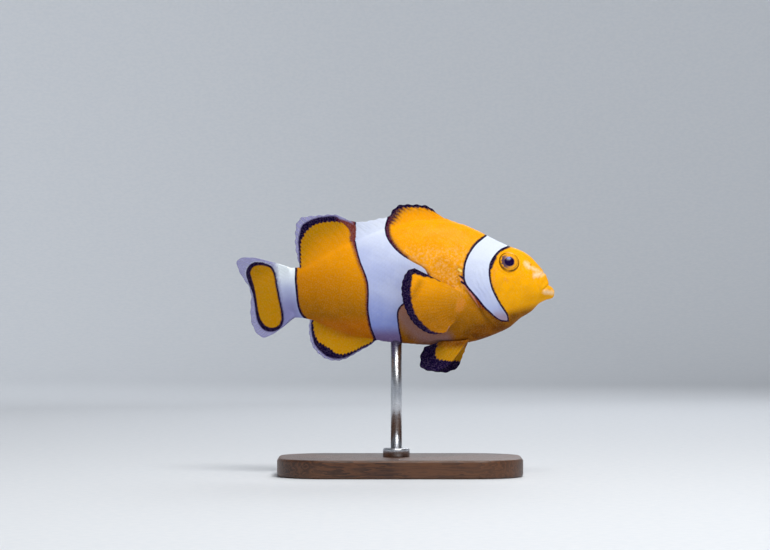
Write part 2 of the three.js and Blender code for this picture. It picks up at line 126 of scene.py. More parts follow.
def measure(x, z, line):
    """Distance of side-view points to a line, positive on its left, and how far along it is."""
    nearest = np.full(np.shape(x), 1e9)
    signed = np.zeros(np.shape(x))
    along = np.zeros(np.shape(x))
    total = np.linalg.norm(np.diff(line, axis=0), axis=1).sum()
    done = 0.0
    for (ax, az), (bx, bz) in zip(line[:-1], line[1:]):
        length = math.hypot(bx - ax, bz - az)
        tx, tz = (bx - ax) / length, (bz - az) / length
        t = np.clip((x - ax) * tx + (z - az) * tz, 0, length)
        away = np.hypot(x - ax - t * tx, z - az - t * tz)
        side = tx * (z - az) - tz * (x - ax)
        closer = away < nearest
        nearest = np.where(closer, away, nearest)
        signed = np.where(closer, np.where(side >= 0, away, -away), signed)
        along = np.where(closer, (done + t) / total, along)
        done += length
    return signed, along


def fade(value, low, high):
    """0 below `low`, 1 above `high` and smooth between."""
    t = np.clip((np.asarray(value, float) - low) / (high - low), 0, 1)
    return t * t * (3 - 2 * t)


# %% [markdown]
# ## The shape of the body
#
# A clownfish is deep and narrow. Four profiles along its length say how high the back is, how low
# the belly hangs, how wide the flanks are and at what height they are widest. Rings through them
# make the body, as a boat is built on frames. Heights count from the middle of the fish, which
# stands AXIS_HEIGHT above the floor, and the tail is bent to the fish's left after the loft.

# %% The body's profiles
AXIS_HEIGHT = 50.0
BACK = [
    [41.8, -0.5], [41.7, -0.1], [41.3, 0.5], [40.8, 1.0], [40.3, 1.6], [40.0, 2.8], [39.4, 4.1],
    [38.9, 5.0], [37.0, 7.3], [35.1, 9.3], [32.4, 10.9], [28.9, 12.2], [24.0, 14.6], [20.2, 16.5],
    [16.2, 18.1], [13.0, 18.8], [9.7, 19.0], [5.4, 18.8], [1.4, 18.1], [-2.7, 17.0], [-6.8, 15.7],
    [-10.8, 14.0], [-14.9, 12.3], [-18.9, 10.4], [-23.0, 8.1], [-27.0, 6.3], [-32.4, 6.1],
]
BELLY = [
    [41.8, -0.5], [41.7, -1.5], [41.2, -2.2], [40.2, -2.6], [39.4, -2.8], [37.8, -3.6],
    [35.4, -5.9], [32.4, -7.8], [29.4, -10.3], [25.7, -12.0], [21.6, -13.5], [17.6, -14.4],
    [13.5, -14.9], [8.1, -14.9], [2.7, -14.6], [-5.4, -13.8], [-12.2, -12.4], [-20.2, -9.7],
    [-24.3, -8.2], [-27.0, -7.7], [-32.4, -7.7],
]
HALF_WIDTH = [
    [41.8, 0.2], [41.7, 0.7], [41.3, 1.35], [40.3, 2.3], [38.9, 3.1], [37.0, 3.9], [35.1, 4.5],
    [32.4, 5.15], [29.7, 5.7], [25.7, 6.3], [21.6, 6.7], [17.6, 6.9], [13.5, 6.9], [8.1, 6.7],
    [2.7, 6.3], [-2.7, 5.7], [-8.1, 4.9], [-13.5, 4.0], [-18.9, 3.1], [-24.3, 2.3], [-28.0, 1.6],
    [-32.4, 0.3],
]
WIDEST_AT = [
    [41.8, -0.5], [38.9, 0.8], [32.4, 1.6], [27.0, 1.4], [21.6, 1.1], [13.5, 1.9], [0.0, 2.2],
    [-13.5, 0.8], [-27.0, -0.7], [-32.4, -0.8],
]
SECTION_POWER = 1.08
BEND_START = -4.0
BEND_RATE = 0.018


def bend(p):
    """Carries points of the straight fish to the fish with its tail turned to the left."""
    x, y, z = np.moveaxis(np.asarray(p, float), -1, 0)
    behind = np.maximum(0, BEND_START - x)
    turn = np.arctan(BEND_RATE * behind)
    middle = 0.5 * BEND_RATE * behind**2
    return np.stack([x + y * np.sin(turn), middle + y * np.cos(turn), z], -1)


def body_point(x, turn):
    """Points of the straight body's surface. turn is 0 on the left flank and grows to the back."""
    middle = profile(WIDEST_AT, x)
    up = np.sin(turn)
    reach = np.where(up > 0, profile(BACK, x) - middle, middle - profile(BELLY, x))
    across = np.sign(np.cos(turn)) * np.abs(np.cos(turn)) ** SECTION_POWER
    return np.stack([x + 0 * turn, profile(HALF_WIDTH, x) * across, middle + reach * up], -1)


# %% [markdown]
# ## Rings where they are needed
#
# Folds around the mouth are a few tenths of a millimetre wide, and the flanks behind the head are
# smooth. So the rings stand close together at the lips and wider apart behind the head. Within a
# ring the points are evenly spaced along the skin, from the belly up the right flank, over the
# back and down the left. Ring and place in the ring then make a good unwrap of the body too.

# %% The straight body as a grid
RING_POINTS = 168
RING_SAMPLES = 1441
RING_GAPS = [(-32.3, 0.50), (8.0, 0.45), (14.0, 0.27), (34.0, 0.20), (37.0, 0.14), (41.0, 0.10),
             (41.8, 0.02)]


def ring_places():
    """The place of every ring along the fish, from the lips to the tail."""
    places = [BACK[0][0] - 0.01]
    while places[-1] > RING_GAPS[0][0]:
        places.append(places[-1] - float(profile(RING_GAPS, places[-1])))
    return np.array(places)


def even_ring(x):
    """One ring of the body, its points evenly spaced from the belly line."""
    turn = -math.pi / 2 - np.linspace(0, 2 * math.pi, RING_SAMPLES)
    fine = body_point(np.full(turn.shape, x), turn)
    length = np.concatenate([[0], np.cumsum(np.linalg.norm(np.diff(fine, axis=0), axis=1))])
    even = np.linspace(0, length[-1], RING_POINTS, endpoint=False)
    return np.stack([np.interp(even, length, fine[:, axis]) for axis in range(3)], 1), length[-1]


def grid_normals(grid):
    """Outward directions of a grid of rings that close on themselves."""
    wrapped = np.concatenate([grid[:, -1:], grid, grid[:, :1]], 1)
    along = np.gradient(grid, axis=0)
    around = (wrapped[:, 2:] - wrapped[:, :-2]) / 2
    normal = np.cross(around, along)
    return normal / np.maximum(np.linalg.norm(normal, axis=-1, keepdims=True), 1e-12)


ring_x = ring_places()
rings = [even_ring(x) for x in ring_x]
straight = np.stack([points for points, girth in rings])
girths = np.array([girth for points, girth in rings])
outward = grid_normals(straight)
print("rings:", len(ring_x), "points:", straight[..., 0].size, "girth in mm:", round(girths.max(), 1))

# %% [markdown]
# ## The side chart
#
# Bars, folds and gill line are all described in side view, so each point of the skin needs its
# place there. On the bent tail the right flank is seen a little further back than the middle
# plane. The chart gives the left flank the same place as the right one, so both sides carry the
# same markings.

# %% Places on the side chart
def side_chart(x, y, z):
    """Where a point of the straight fish lies in side view, the same for both flanks."""
    turn = np.arctan(BEND_RATE * np.maximum(0, BEND_START - x))
    return x - np.abs(y) * np.sin(turn), z


chart_x, chart_z = side_chart(*np.moveaxis(straight, -1, 0))
print("chart from", round(chart_x.min(), 1), "to", round(chart_x.max(), 1))

# %% [markdown]
# ## Folds of the head
#
# Skin over bone is not smooth: the gill cover ends in a free edge with a slit behind it, a step
# marks the rear of the cheek, the eye has a rim, and lips are rolls with a cleft between them.
# Each fold is a height over the plain body, worked out from the distance to a line in the side
# chart. Each part of the head has a function, and their heights add up. That is quicker than
# sculpting, and both flanks get the folds alike.

# %% Lines of the head
SKIN_INSET = 0.1
EYE = {"x": 29.3, "z": 7.6, "radius": 3.0, "depth": 1.7, "sunk": 0.65}
GILL_LINE = [[18.4, 9.2], [16.5, 6.5], [15.4, 3.8], [16.2, 1.5], [18.4, -0.8], [20.5, -3.5],
             [22.7, -6.8], [25.4, -9.7], [28.4, -12.4], [29.7, -16.0]]
CHEEK_LINE = [[24.8, 4.3], [25.1, 1.4], [25.9, -1.9], [27.2, -5.4], [28.6, -7.2], [31.4, -7.4]]
MOUTH_LINE = [[41.2, 1.5], [40.3, 1.4], [39.6, 0.9], [38.9, 0.2], [38.4, -0.5]]
UPPER_LIP_LINE = [[39.3, 5.0], [38.3, 4.1], [37.5, 2.9], [37.2, 1.2], [37.5, -0.4], [38.0, -1.2]]
LOWER_LIP_LINE = [[40.0, -3.2], [39.2, -2.0], [38.3, -1.3]]
NOSTRIL = (35.3, 6.8)
PECTORAL_ROOT = [[16.5, -0.4], [16.1, -2.7], [15.4, -5.4], [14.6, -8.1]]
# Heights and depths of the folds in millimetres.
GILL_EDGE = 0.22
GILL_SLIT = 0.34
CHEEK_STEP = 0.10
ORBIT_RIM = 0.12
ORBIT_FURROW = 0.06
SOCKET = 1.3
GAPE = 0.2
LIP_ROLL = 0.06
UPPER_CREASE = (0.26, 0.12)
UPPER_SWELL = 0.1
LOWER_CREASE = 0.05
NOSTRIL_RIM = 0.12
NOSTRIL_PIT = 0.4
FIN_SHOULDER = 0.3
BROAD_WAVES = 0.03
FINE_WAVES = 0.015
CREASES = 0.05


def eye_seat():
    """Where the skin would be at the middle of the right eye, and which way that eye looks."""
    back = profile(BACK, EYE["x"]) - profile(WIDEST_AT, EYE["x"])
    turn = math.pi - math.asin((EYE["z"] - profile(WIDEST_AT, EYE["x"])) / back)
    here = body_point(np.array(EYE["x"]), np.array(turn))
    ahead = body_point(np.array(EYE["x"] + 0.5), np.array(turn)) - here
    above = body_point(np.array(EYE["x"]), np.array(turn - 0.05)) - here
    out = np.cross(above, ahead)
    out = out / np.linalg.norm(out)
    return here, out * np.sign(-out[1])


def bump_at(distance, middle, width):
    """A soft ridge of height 1 at `middle`, `width` wide on either side."""
    return np.exp(-(((distance - middle) / width) ** 2))


# %% Relief over the plain body
def gill_and_cheek(x, z):
    """The gill cover's free edge with the slit behind it, and the step at the rear of the cheek."""
    slit, along = measure(x, z, outline(GILL_LINE, 60))
    open_part = fade(along, 0.02, 0.12) * (1 - fade(along, 0.72, 0.86))
    flap = np.where(slit > 0, GILL_EDGE * np.exp(-slit / 1.8), -GILL_SLIT * np.exp(slit / 0.5))
    height = open_part * flap * fade(np.abs(slit), -0.12, 0.16)
    cheek, along = measure(x, z, outline(CHEEK_LINE, 40))
    step = np.where(cheek > 0, np.exp(-cheek / 1.2), -np.exp(cheek / 0.5))
    return height + fade(along, 0.0, 0.25) * (1 - fade(along, 0.7, 1.0)) * CHEEK_STEP * step


def orbit(x, y, z):
    """The socket of the eye, the rim of skin around it and a furrow outside that."""
    seat, _ = eye_seat()
    from_eye = np.sqrt((x - seat[0]) ** 2 + (np.abs(y) + seat[1]) ** 2 + (z - seat[2]) ** 2)
    rim = ORBIT_RIM * bump_at(from_eye, 3.15, 0.3) - ORBIT_FURROW * bump_at(from_eye, 3.8, 0.3)
    return rim - SOCKET * (1 - fade(from_eye, 2.05, 2.9))


def lips(x, z):
    """The gape between its two rolls, and the creases that end the upper and the lower lip."""
    mouth, along = measure(x, z, outline(MOUTH_LINE, 30))
    rolls = bump_at(mouth, 0.6, 0.4) + bump_at(mouth, -0.6, 0.4)
    height = (1 - fade(along, 0.75, 1.0)) * (LIP_ROLL * rolls - GAPE * bump_at(mouth, 0, 0.24))
    upper, along = measure(x, z, outline(UPPER_LIP_LINE, 30))
    deepest, less = UPPER_CREASE
    crease = (1 - fade(along, 0.7, 1.0)) * (deepest - less * fade(along, 0.1, 0.45))
    height -= crease * bump_at(upper, 0, 0.3)
    height += UPPER_SWELL * (1 - fade(along, 0.5, 0.9)) * bump_at(upper, 0.75, 0.5)
    lower, along = measure(x, z, outline(LOWER_LIP_LINE, 20))
    return height - (1 - fade(along, 0.4, 1.0)) * LOWER_CREASE * bump_at(lower, 0, 0.3)


def uneven(x, z):
    """Waves of the flank that are too low to see as folds, and fine creases of the gill cover."""
    broad = np.sin(0.9 * x + 0.5 * z) * np.sin(0.55 * z - 0.3 * x + 1.0)
    fine = np.sin(2.1 * x + 1.4 * z) * np.sin(1.7 * z - 0.8 * x)
    along = fade(x, 18.8, 20.5) * (1 - fade(x, 24.0, 27.0))
    creased = along * fade(z, -5.0, -1.0) * (1 - fade(z, 4.0, 7.0))
    creases = creased * np.sin(4.6 * x + 2.1 * z + 1.2 * np.sin(0.9 * z))
    return BROAD_WAVES * broad + FINE_WAVES * fine + CREASES * creases


def relief(x, y, z):
    """Height of all folds over the plain body, in millimetres."""
    height = gill_and_cheek(x, z) + orbit(x, y, z) + lips(x, z) + uneven(x, z)
    from_nostril = np.hypot(x - NOSTRIL[0], z - NOSTRIL[1])
    height += NOSTRIL_RIM * bump_at(from_nostril, 0.55, 0.22)
    height -= NOSTRIL_PIT * bump_at(from_nostril, 0, 0.3)
    from_root = measure(x, z, outline(PECTORAL_ROOT, 20))[0]
    return height + FIN_SHOULDER * bump_at(from_root, 0, 1.3)


heights = relief(straight[..., 0], straight[..., 1], straight[..., 2]) - SKIN_INSET
folded = straight + outward * heights[..., None]
body_grid = bend(folded) + [0, 0, AXIS_HEIGHT]
body_normals = grid_normals(body_grid)
print("folds from", round(heights.min(), 2), "to", round(heights.max(), 2), "mm")

# %% [markdown]
# ## Where the colours meet
#
# The markings are kept as distances in millimetres: how deep a point lies inside a white bar, how
# wide the black edge is there, how deep it lies in a pale patch or in black. A material that
# reads a distance draws an edge as sharp as it likes on a coarse mesh, which a painted mask
# can't. The skin and the scales carry the same distances, so their markings agree.

# %% Bars and patches of the body
HEAD_BAR_REAR = [
    [24.6, 18.0], [23.8, 15.1], [22.1, 13.6], [20.5, 12.2], [18.9, 10.0], [18.1, 8.4], [17.6, 6.8],
    [17.35, 4.9], [17.4, 3.0], [18.0, 1.4], [19.2, -0.1], [20.9, -2.0], [22.8, -4.4], [24.3, -5.8],
    [25.7, -7.1], [27.2, -8.0], [28.9, -8.25], [31.0, -8.3],
]
HEAD_BAR_FRONT = [
    [30.6, 15.0], [29.4, 12.3], [27.8, 11.5], [26.4, 10.6], [25.0, 9.0], [24.1, 7.3], [23.8, 5.7],
    [23.8, 3.8], [24.0, 2.4], [24.5, 0.5], [25.2, -1.1], [26.2, -3.0], [27.2, -4.6], [28.1, -5.9],
    [28.75, -7.0], [28.95, -8.2], [29.1, -10.0],
]
MIDDLE_BAR_FRONT = [
    [-3.3, 25.0], [-3.4, 19.7], [-3.9, 18.1], [-4.1, 16.5], [-3.9, 14.9], [-3.2, 13.3],
    [-2.1, 11.8], [-0.8, 10.4], [0.6, 9.25], [2.0, 8.35], [3.8, 7.3], [5.4, 6.5], [6.7, 5.5],
    [7.35, 4.15], [7.6, 1.9], [6.2, -0.3], [3.2, -2.0], [0.8, -3.5], [-0.5, -4.9], [-0.9, -6.5],
    [-0.75, -8.6], [-0.45, -10.8], [-0.05, -12.7], [0.2, -15.1], [0.4, -20.0],
]
MIDDLE_BAR_REAR = [
    [-11.6, 25.0], [-11.7, 20.5], [-11.9, 17.8], [-12.0, 15.9], [-12.0, 13.8], [-11.7, 11.6],
    [-11.2, 9.7], [-10.6, 7.6], [-9.7, 5.4], [-8.9, 3.2], [-8.5, 1.4], [-8.4, -1.4], [-8.5, -4.1],
    [-8.4, -6.2], [-8.1, -8.1], [-7.7, -10.0], [-7.0, -11.9], [-6.3, -13.8], [-4.5, -20.0],
]
TAIL_BAR_FRONT = [
    [-28.2, 14.0], [-28.4, 7.6], [-28.55, 5.4], [-28.6, 2.7], [-28.4, 0.5], [-28.2, -1.6],
    [-28.0, -3.5], [-27.5, -5.4], [-26.8, -6.9], [-26.0, -7.8], [-24.3, -10.0],
]
# Width of the black edge at each height.
HEAD_REAR_EDGE = [(-8.2, 0.25), (-5.0, 0.5), (3.0, 0.6), (10.0, 0.6), (13.0, 0.7), (16.0, 0.5)]
HEAD_FRONT_EDGE = [
    (-8.2, 0.15), (-6.0, 0.45), (0.0, 0.5), (5.2, 0.55), (6.2, 1.05), (8.2, 1.1), (9.2, 0.75),
    (11.0, 0.7), (13.0, 0.6),
]
MIDDLE_FRONT_EDGE = [(-14.0, 0.35), (0.0, 0.45), (6.0, 0.6), (9.0, 0.8), (12.0, 1.0), (16.0, 1.25)]
MIDDLE_REAR_EDGE = [(-14.0, 0.65), (0.0, 0.8), (7.0, 0.85), (9.0, 0.9), (11.0, 1.05), (13.0, 1.35),
                    (15.0, 1.45), (21.0, 1.4)]
TAIL_EDGE = 0.65
TAIL_FIN_FRONT = -29.6
TAIL_PATCH = [
    [-37.7, 6.8], [-39.6, 6.5], [-40.5, 5.7], [-40.8, 4.6], [-40.4, 2.9], [-39.8, 0.8],
    [-39.3, -2.0], [-38.9, -4.7], [-38.5, -6.6], [-37.7, -8.5], [-36.2, -10.0], [-34.5, -10.3],
    [-32.9, -9.6], [-32.2, -8.2], [-32.2, -6.0], [-32.9, -2.5], [-33.7, 1.6], [-34.3, 4.6],
    [-35.4, 6.2], [-37.7, 6.8],
]
# Width of the black ring around the patch, by how far along the line above.
TAIL_RING = [
    (0.00, 0.75), (0.06, 1.05), (0.12, 1.2), (0.17, 1.1), (0.24, 0.75), (0.32, 0.65), (0.40, 0.95),
    (0.46, 1.15), (0.52, 0.95), (0.58, 0.65), (0.66, 0.45), (0.74, 0.4), (0.95, 0.5), (1.00, 0.75),
]
# Ends and radius of round-ended patches in side view.
FIN_BASE_PATCH = ((16.6, -3.2), (15.9, -5.0), 1.0)
# Painted shade of a fold across the breast fin.
FIN_FOLD_SHADE = ((5.2, 1.8), (3.4, -1.6), 0.05)
PALE_PATCHES = [
    ((36.4, 4.05), (38.3, 4.5), 0.6), ((39.1, -0.5), (41.1, -0.7), 0.5),
    ((33.9, 7.2), (34.7, 6.3), 0.5), ((35.6, 6.0), (37.2, 5.2), 0.35),
    ((25.5, 6.0), (24.9, 3.7), 0.3), ((24.9, 3.7), (25.4, 1.2), 0.3), ((28.2, 3.0), (28.7, 2.6), 0.15),
    FIN_BASE_PATCH,
]
SHADE_PATCHES = [((20.9, -2.2), (28.2, -10.4), 1.7), ((18.4, 1.2), (20.9, -2.2), 0.6)]
# Middle line and half width of the breast fin's painted shadow, a mauve band on the belly below the
# fin's margin.
FIN_SHADOW_LINE = [[0.4, -5.4], [1.1, -7.2], [2.6, -9.3], [5.2, -11.6], [8.2, -13.0], [12.0, -13.2]]
FIN_SHADOW_HALF = 2.0
# Distances for places that a marking doesn't come near.
NO_BAND = -1.0
NO_INK = -5.0
NO_WHITE = -6.0
NO_FIN_SHADOW = -9.0


def patch_depth(x, z, patch):
    """How deep a point lies inside a round-ended patch."""
    start, end, radius = patch
    return radius - np.abs(measure(x, z, np.array([start, end]))[0])


def body_markings(x, z, tail_bar=True):
    """The markings' distances on the body, from places on the side chart."""
    head_rear = measure(x, z, outline(HEAD_BAR_REAR, 90))[0]
    head_front = -measure(x, z, outline(HEAD_BAR_FRONT, 90))[0]
    middle_rear = measure(x, z, outline(MIDDLE_BAR_REAR, 90))[0]
    middle_front = -measure(x, z, outline(MIDDLE_BAR_FRONT, 120))[0]
    tail = -measure(x, z, outline(TAIL_BAR_FRONT, 50))[0]
    smoke = 0.75 * (1 - fade(-middle_front, 0.7, 2.0)) * fade(z, 9.0, 16.0) * (x > -6.0)
    head = np.minimum(head_rear, head_front)
    middle = np.minimum(middle_rear, middle_front)
    head_edge = np.where(head_rear < head_front, profile(HEAD_REAR_EDGE, z),
                         profile(HEAD_FRONT_EDGE, z))
    middle_edge = np.where(middle_rear < middle_front, profile(MIDDLE_REAR_EDGE, z),
                           profile(MIDDLE_FRONT_EDGE, z))
    white = np.maximum(head, middle)
    if tail_bar:
        white = np.maximum(white, tail)
    edge = np.where(head == white, head_edge, np.where(middle == white, middle_edge, TAIL_EDGE))
    pale = np.max([patch_depth(x, z, patch) for patch in PALE_PATCHES], axis=0)
    shade = np.max([patch_depth(x, z, patch) for patch in SHADE_PATCHES], axis=0)
    fin_shadow = FIN_SHADOW_HALF - np.abs(measure(x, z, outline(FIN_SHADOW_LINE, 30))[0])
    return {"white_mm": white, "edge_mm": edge, "pale_mm": pale, "shade_mm": shade,
            "fin_shadow_mm": fin_shadow, "smoke": smoke, "ink_mm": np.full(np.shape(x), NO_INK),
            "rim_mm": np.full(np.shape(x), NO_INK), "ray": np.zeros(np.shape(x)),
            "fin": np.zeros(np.shape(x))}


def tail_markings(x, z, marks):
    """White, ring and rim of the tail fin around its orange patch."""
    signed, along = measure(x, z, outline(TAIL_PATCH, 120))
    beyond = -signed
    ring = 1.15 * profile(TAIL_RING, along)
    ink = np.minimum(beyond, ring - beyond)
    white = np.minimum(marks["white_mm"], np.maximum(beyond - 0.4 * ring, -3.0))
    behind = -35.0 - 0.14 * z - x
    rim = np.minimum(beyond - ring, 0.25 * (behind + 2.0))
    on_tail = x < TAIL_FIN_FRONT
    marks["ink_mm"] = np.where(on_tail, ink, marks["ink_mm"])
    marks["white_mm"] = np.where(on_tail, white, marks["white_mm"])
    marks["rim_mm"] = np.where(on_tail, rim, marks["rim_mm"])
    marks["edge_mm"] = np.where(on_tail, 0.0, marks["edge_mm"])
    return marks


body_marks = tail_markings(chart_x, chart_z, body_markings(chart_x, chart_z))
white_share = (body_marks["white_mm"] > 0).mean()
print("share of the body that is white:", round(float(white_share), 2))

# %% [markdown]
# ## Meshes, painted values and the bake map
#
# One helper turns points in millimetres into a Blender mesh, and one writes the values that the
# materials read. A third gives the mesh the map on which its colours can be baked later. The
# map's charts, one for each flank and each face of a fin, stand on shelves from the bottom up.

# %% Mesh helpers
def make_piece(name, points, faces):
    """A smooth-shaded object whose points are given in millimetres."""
    mesh = bpy.data.meshes.new(name)
    mesh.from_pydata((np.reshape(points, (-1, 3)) * MM).tolist(), [], faces)
    mesh.shade_smooth()
    mesh.update()
    piece = bpy.data.objects.new(name, mesh)
    bpy.context.scene.collection.objects.link(piece)
    return piece


def paint(mesh, marks):
    """Writes one number for each vertex under each name."""
    for name, values in marks.items():
        layer = mesh.attributes.new(name, "FLOAT", "POINT")
        layer.data.foreach_set("value", np.ravel(values).astype(np.float32))


def unwrap(mesh, corner_places):
    """Writes the bake map from one place for each corner of each face."""
    layer = mesh.uv_layers.new(name="OFBake")
    layer.uv.foreach_set("vector", np.ravel(corner_places).astype(np.float32))


def quads_of(rows, columns):
    """Corner numbers, by row and column, of all quads of a grid of points."""
    r, c = np.meshgrid(np.arange(rows - 1), np.arange(columns - 1), indexing="ij")
    corners = [(r, c), (r, c + 1), (r + 1, c + 1), (r + 1, c)]
    return [(a.ravel(), b.ravel()) for a, b in corners]


def ring_quads(rings, columns):
    """Faces between rings of points, where each ring closes on itself."""
    return np.stack([r * columns + c % columns for r, c in quads_of(rings, columns + 1)], 1)


def closed_faces(rings, columns):
    """Faces between rings, and fans from the two poles, which come last, to the end rings."""
    first_pole, last_ring = rings * columns, (rings - 1) * columns
    ends = []
    for c in range(columns):
        after = (c + 1) % columns
        ends.append([first_pole, after, c])
        ends.append([first_pole + 1, last_ring + c, last_ring + after])
    return ring_quads(rings, columns).tolist(), ends


# %% The body's mesh
CHART_SCALE = 0.0072
CHART_CORNER = (0.01, 0.005)
BODY_CHART_HEIGHT = 0.33
END_PLACE = [0.99, 0.99]
LIP_TIP = 0.01


def body_place(ring_at, around):
    """The bake map's place of a point of the body: the right flank below, the left one above."""
    x = np.interp(ring_at, np.arange(len(ring_x)), ring_x)
    girth = np.interp(ring_at, np.arange(len(ring_x)), girths)
    left = around > 0.5
    up = np.where(left, 1 - around, around) * girth * CHART_SCALE
    right = (ring_x[0] - x) * CHART_SCALE
    return np.stack([CHART_CORNER[0] + right, CHART_CORNER[1] + up + left * BODY_CHART_HEIGHT], -1)


def body_piece():
    """The body as one closed mesh, its two ends closed by fans."""
    middle_of = lambda ring: body_grid[ring].mean(axis=0, keepdims=True)
    tip = middle_of(0) + [[LIP_TIP, 0, 0]]
    points = np.concatenate([body_grid.reshape(-1, 3), tip, middle_of(-1)])
    sides, ends = closed_faces(len(ring_x), RING_POINTS)
    piece = make_piece("skin", points, sides + ends)
    grow = lambda values: np.concatenate([values.ravel(), values[0, :1], values[-1, :1]])
    paint(piece.data, {name: grow(values) for name, values in body_marks.items()})
    paint(piece.data, {"own": np.ones(len(points))})
    corners = quads_of(len(ring_x), RING_POINTS + 1)
    places = np.stack([body_place(r, c / RING_POINTS) for r, c in corners], 1).reshape(-1, 2)
    end_places = np.tile([END_PLACE], (3 * len(ends), 1))
    unwrap(piece.data, np.concatenate([places, end_places]))
    return piece


skin = body_piece()
print("body faces:", len(skin.data.polygons))

# %% [markdown]
# ## Fins
#
# A fin is a thin web of skin on a fan of rays. The front of the back fin has stiff spines, and all
# the other rays are soft and split towards the edge. Each fin is a closed sheet that runs from a
# root line inside the flesh to its margin. It is thick at the root, swells over each ray, is
# scalloped between the rays and waves a little, as a fin does that is never quite at rest.

# %% Fin outlines
ROOT_SINK = 1.2
FIN_INSET = 0.12
WEB_HALF = 0.11
WEB_TAPER = 0.05
ROOT_WEB = 0.1
SWAY_SHIFT = 0.13
FIRST_SPLIT = 0.38
NEXT_SPLIT = 0.3
SPLIT_LENGTH = 0.2
DORSAL_ROOT = (17.8, -26.6)
ANAL_ROOT = (-5.3, -24.0)
DORSAL_MARGIN = [
    [17.2, 17.6], [14.0, 18.9], [12.2, 19.5], [10.8, 20.2], [9.7, 21.1], [8.4, 22.3], [7.0, 23.0],
    [5.4, 23.2], [2.7, 23.3], [0.0, 23.2], [-1.4, 22.5], [-2.4, 21.3], [-3.4, 19.9], [-5.4, 19.5],
    [-8.1, 18.9], [-10.8, 18.5], [-13.0, 18.7], [-14.9, 19.4], [-16.5, 20.2], [-18.1, 20.6],
    [-20.2, 20.5], [-24.3, 20.2], [-27.0, 19.7], [-28.1, 18.4], [-28.5, 14.9], [-28.4, 11.3],
    [-27.8, 8.1], [-27.2, 6.2],
]
ANAL_MARGIN = [
    [-5.9, -13.2], [-8.1, -15.1], [-10.3, -16.3], [-12.7, -17.7], [-15.1, -18.9], [-17.6, -19.3],
    [-20.0, -18.8], [-22.1, -17.4], [-23.8, -15.4], [-24.6, -13.0], [-24.8, -10.8], [-24.6, -8.8],
    [-24.2, -7.9],
]
TAIL_ROOT = [[-29.5, 5.9], [-29.3, 3.5], [-29.2, -0.7], [-28.9, -4.5], [-28.4, -7.4]]
TAIL_MARGIN = [
    [-31.5, 6.6], [-33.9, 7.4], [-36.7, 8.1], [-39.5, 8.8], [-42.3, 8.95], [-44.1, 8.6],
    [-44.8, 7.6], [-44.2, 5.3], [-42.9, 3.0], [-41.5, 0.9], [-40.9, -1.4], [-41.0, -4.1],
    [-41.0, -6.5], [-40.6, -9.2], [-39.3, -11.8], [-37.6, -13.1], [-35.6, -12.7], [-33.3, -11.3],
    [-31.3, -9.7], [-29.9, -8.2],
]
PECTORAL_SINK = 0.5
PECTORAL_FLARE = 0.45
PECTORAL_MARGIN = [
    [3.8, 5.9], [2.2, 5.4], [0.9, 3.5], [0.2, 0.8], [0.3, -2.2], [1.1, -5.1], [2.7, -8.0],
    [5.1, -10.3], [7.8, -11.7], [10.3, -11.9], [12.4, -11.2], [13.2, -9.7],
]
PELVIC_ROOT = [[18.6, -13.4], [16.5, -13.8], [14.0, -13.9], [11.3, -13.9]]
PELVIC_ROOT_Y = 2.4
PELVIC_FLARE = 0.3
PELVIC_MARGIN = {
    "right": [[14.0, -19.2], [13.0, -20.3], [11.8, -21.2], [10.0, -22.0], [8.1, -22.0],
              [6.6, -21.6], [5.4, -21.1], [5.2, -19.2], [5.4, -17.3], [6.4, -15.4]],
    "left": [[16.2, -19.3], [16.1, -20.4], [15.1, -21.6], [13.5, -22.4], [11.6, -22.7],
             [9.6, -22.2], [8.2, -21.2], [7.2, -19.4], [6.9, -17.4], [7.8, -15.6]],
}


def flat(points):
    """Side-view points in the middle plane."""
    return [[x, 0, z] for x, z in points]


def edge_root(edge, ends, sink):
    """A root line along the back or belly, sunk into the flesh."""
    return [[x, 0, float(profile(edge, x)) + sink] for x in np.linspace(*ends, 14)]


def flank_at(x, z):
    """How far the flank lies from the middle plane at a place of the side view."""
    middle = profile(WIDEST_AT, x)
    reach = profile(BACK, x) - middle if z > middle else middle - profile(BELLY, x)
    cosine = math.sqrt(max(0, 1 - ((z - middle) / reach) ** 2))
    return float(profile(HALF_WIDTH, x)) * cosine**SECTION_POWER


def pectoral_lines(side):
    """Root and margin of a breast fin. side is -1 for the right and 1 for the left."""
    root = [[x, side * (flank_at(x, z) - PECTORAL_SINK), z] for x, z in PECTORAL_ROOT]
    margin = []
    for i, (x, z) in enumerate(PECTORAL_MARGIN):
        along = i / (len(PECTORAL_MARGIN) - 1)
        start = root[0][1] + (root[-1][1] - root[0][1]) * along
        margin.append([x, start + side * PECTORAL_FLARE * (PECTORAL_ROOT[0][0] - x), z])
    return root, margin


def pelvic_lines(side):
    """Root and margin of a belly fin."""
    root = [[x, side * PELVIC_ROOT_Y, z] for x, z in PELVIC_ROOT]
    margin = []
    for x, z in PELVIC_MARGIN["right" if side < 0 else "left"]:
        margin.append([x, side * (PELVIC_ROOT_Y + PELVIC_FLARE * (PELVIC_ROOT[0][1] - z)), z])
    return root, margin


# %% A fin as a closed sheet
def ray_height(u, v, rays, splits):
    """1 on the crest of a ray and 0 between: rays split in two, and again near the margin."""
    crest = 0.5 + 0.5 * np.cos(2 * math.pi * rays * u)
    for k in range(splits):
        finer = 0.5 + 0.5 * np.cos(2 * math.pi * rays * 2 ** (k + 1) * u)
        start = FIRST_SPLIT + NEXT_SPLIT * k
        crest = crest + (finer - crest) * fade(v, start, start + SPLIT_LENGTH)
    return crest


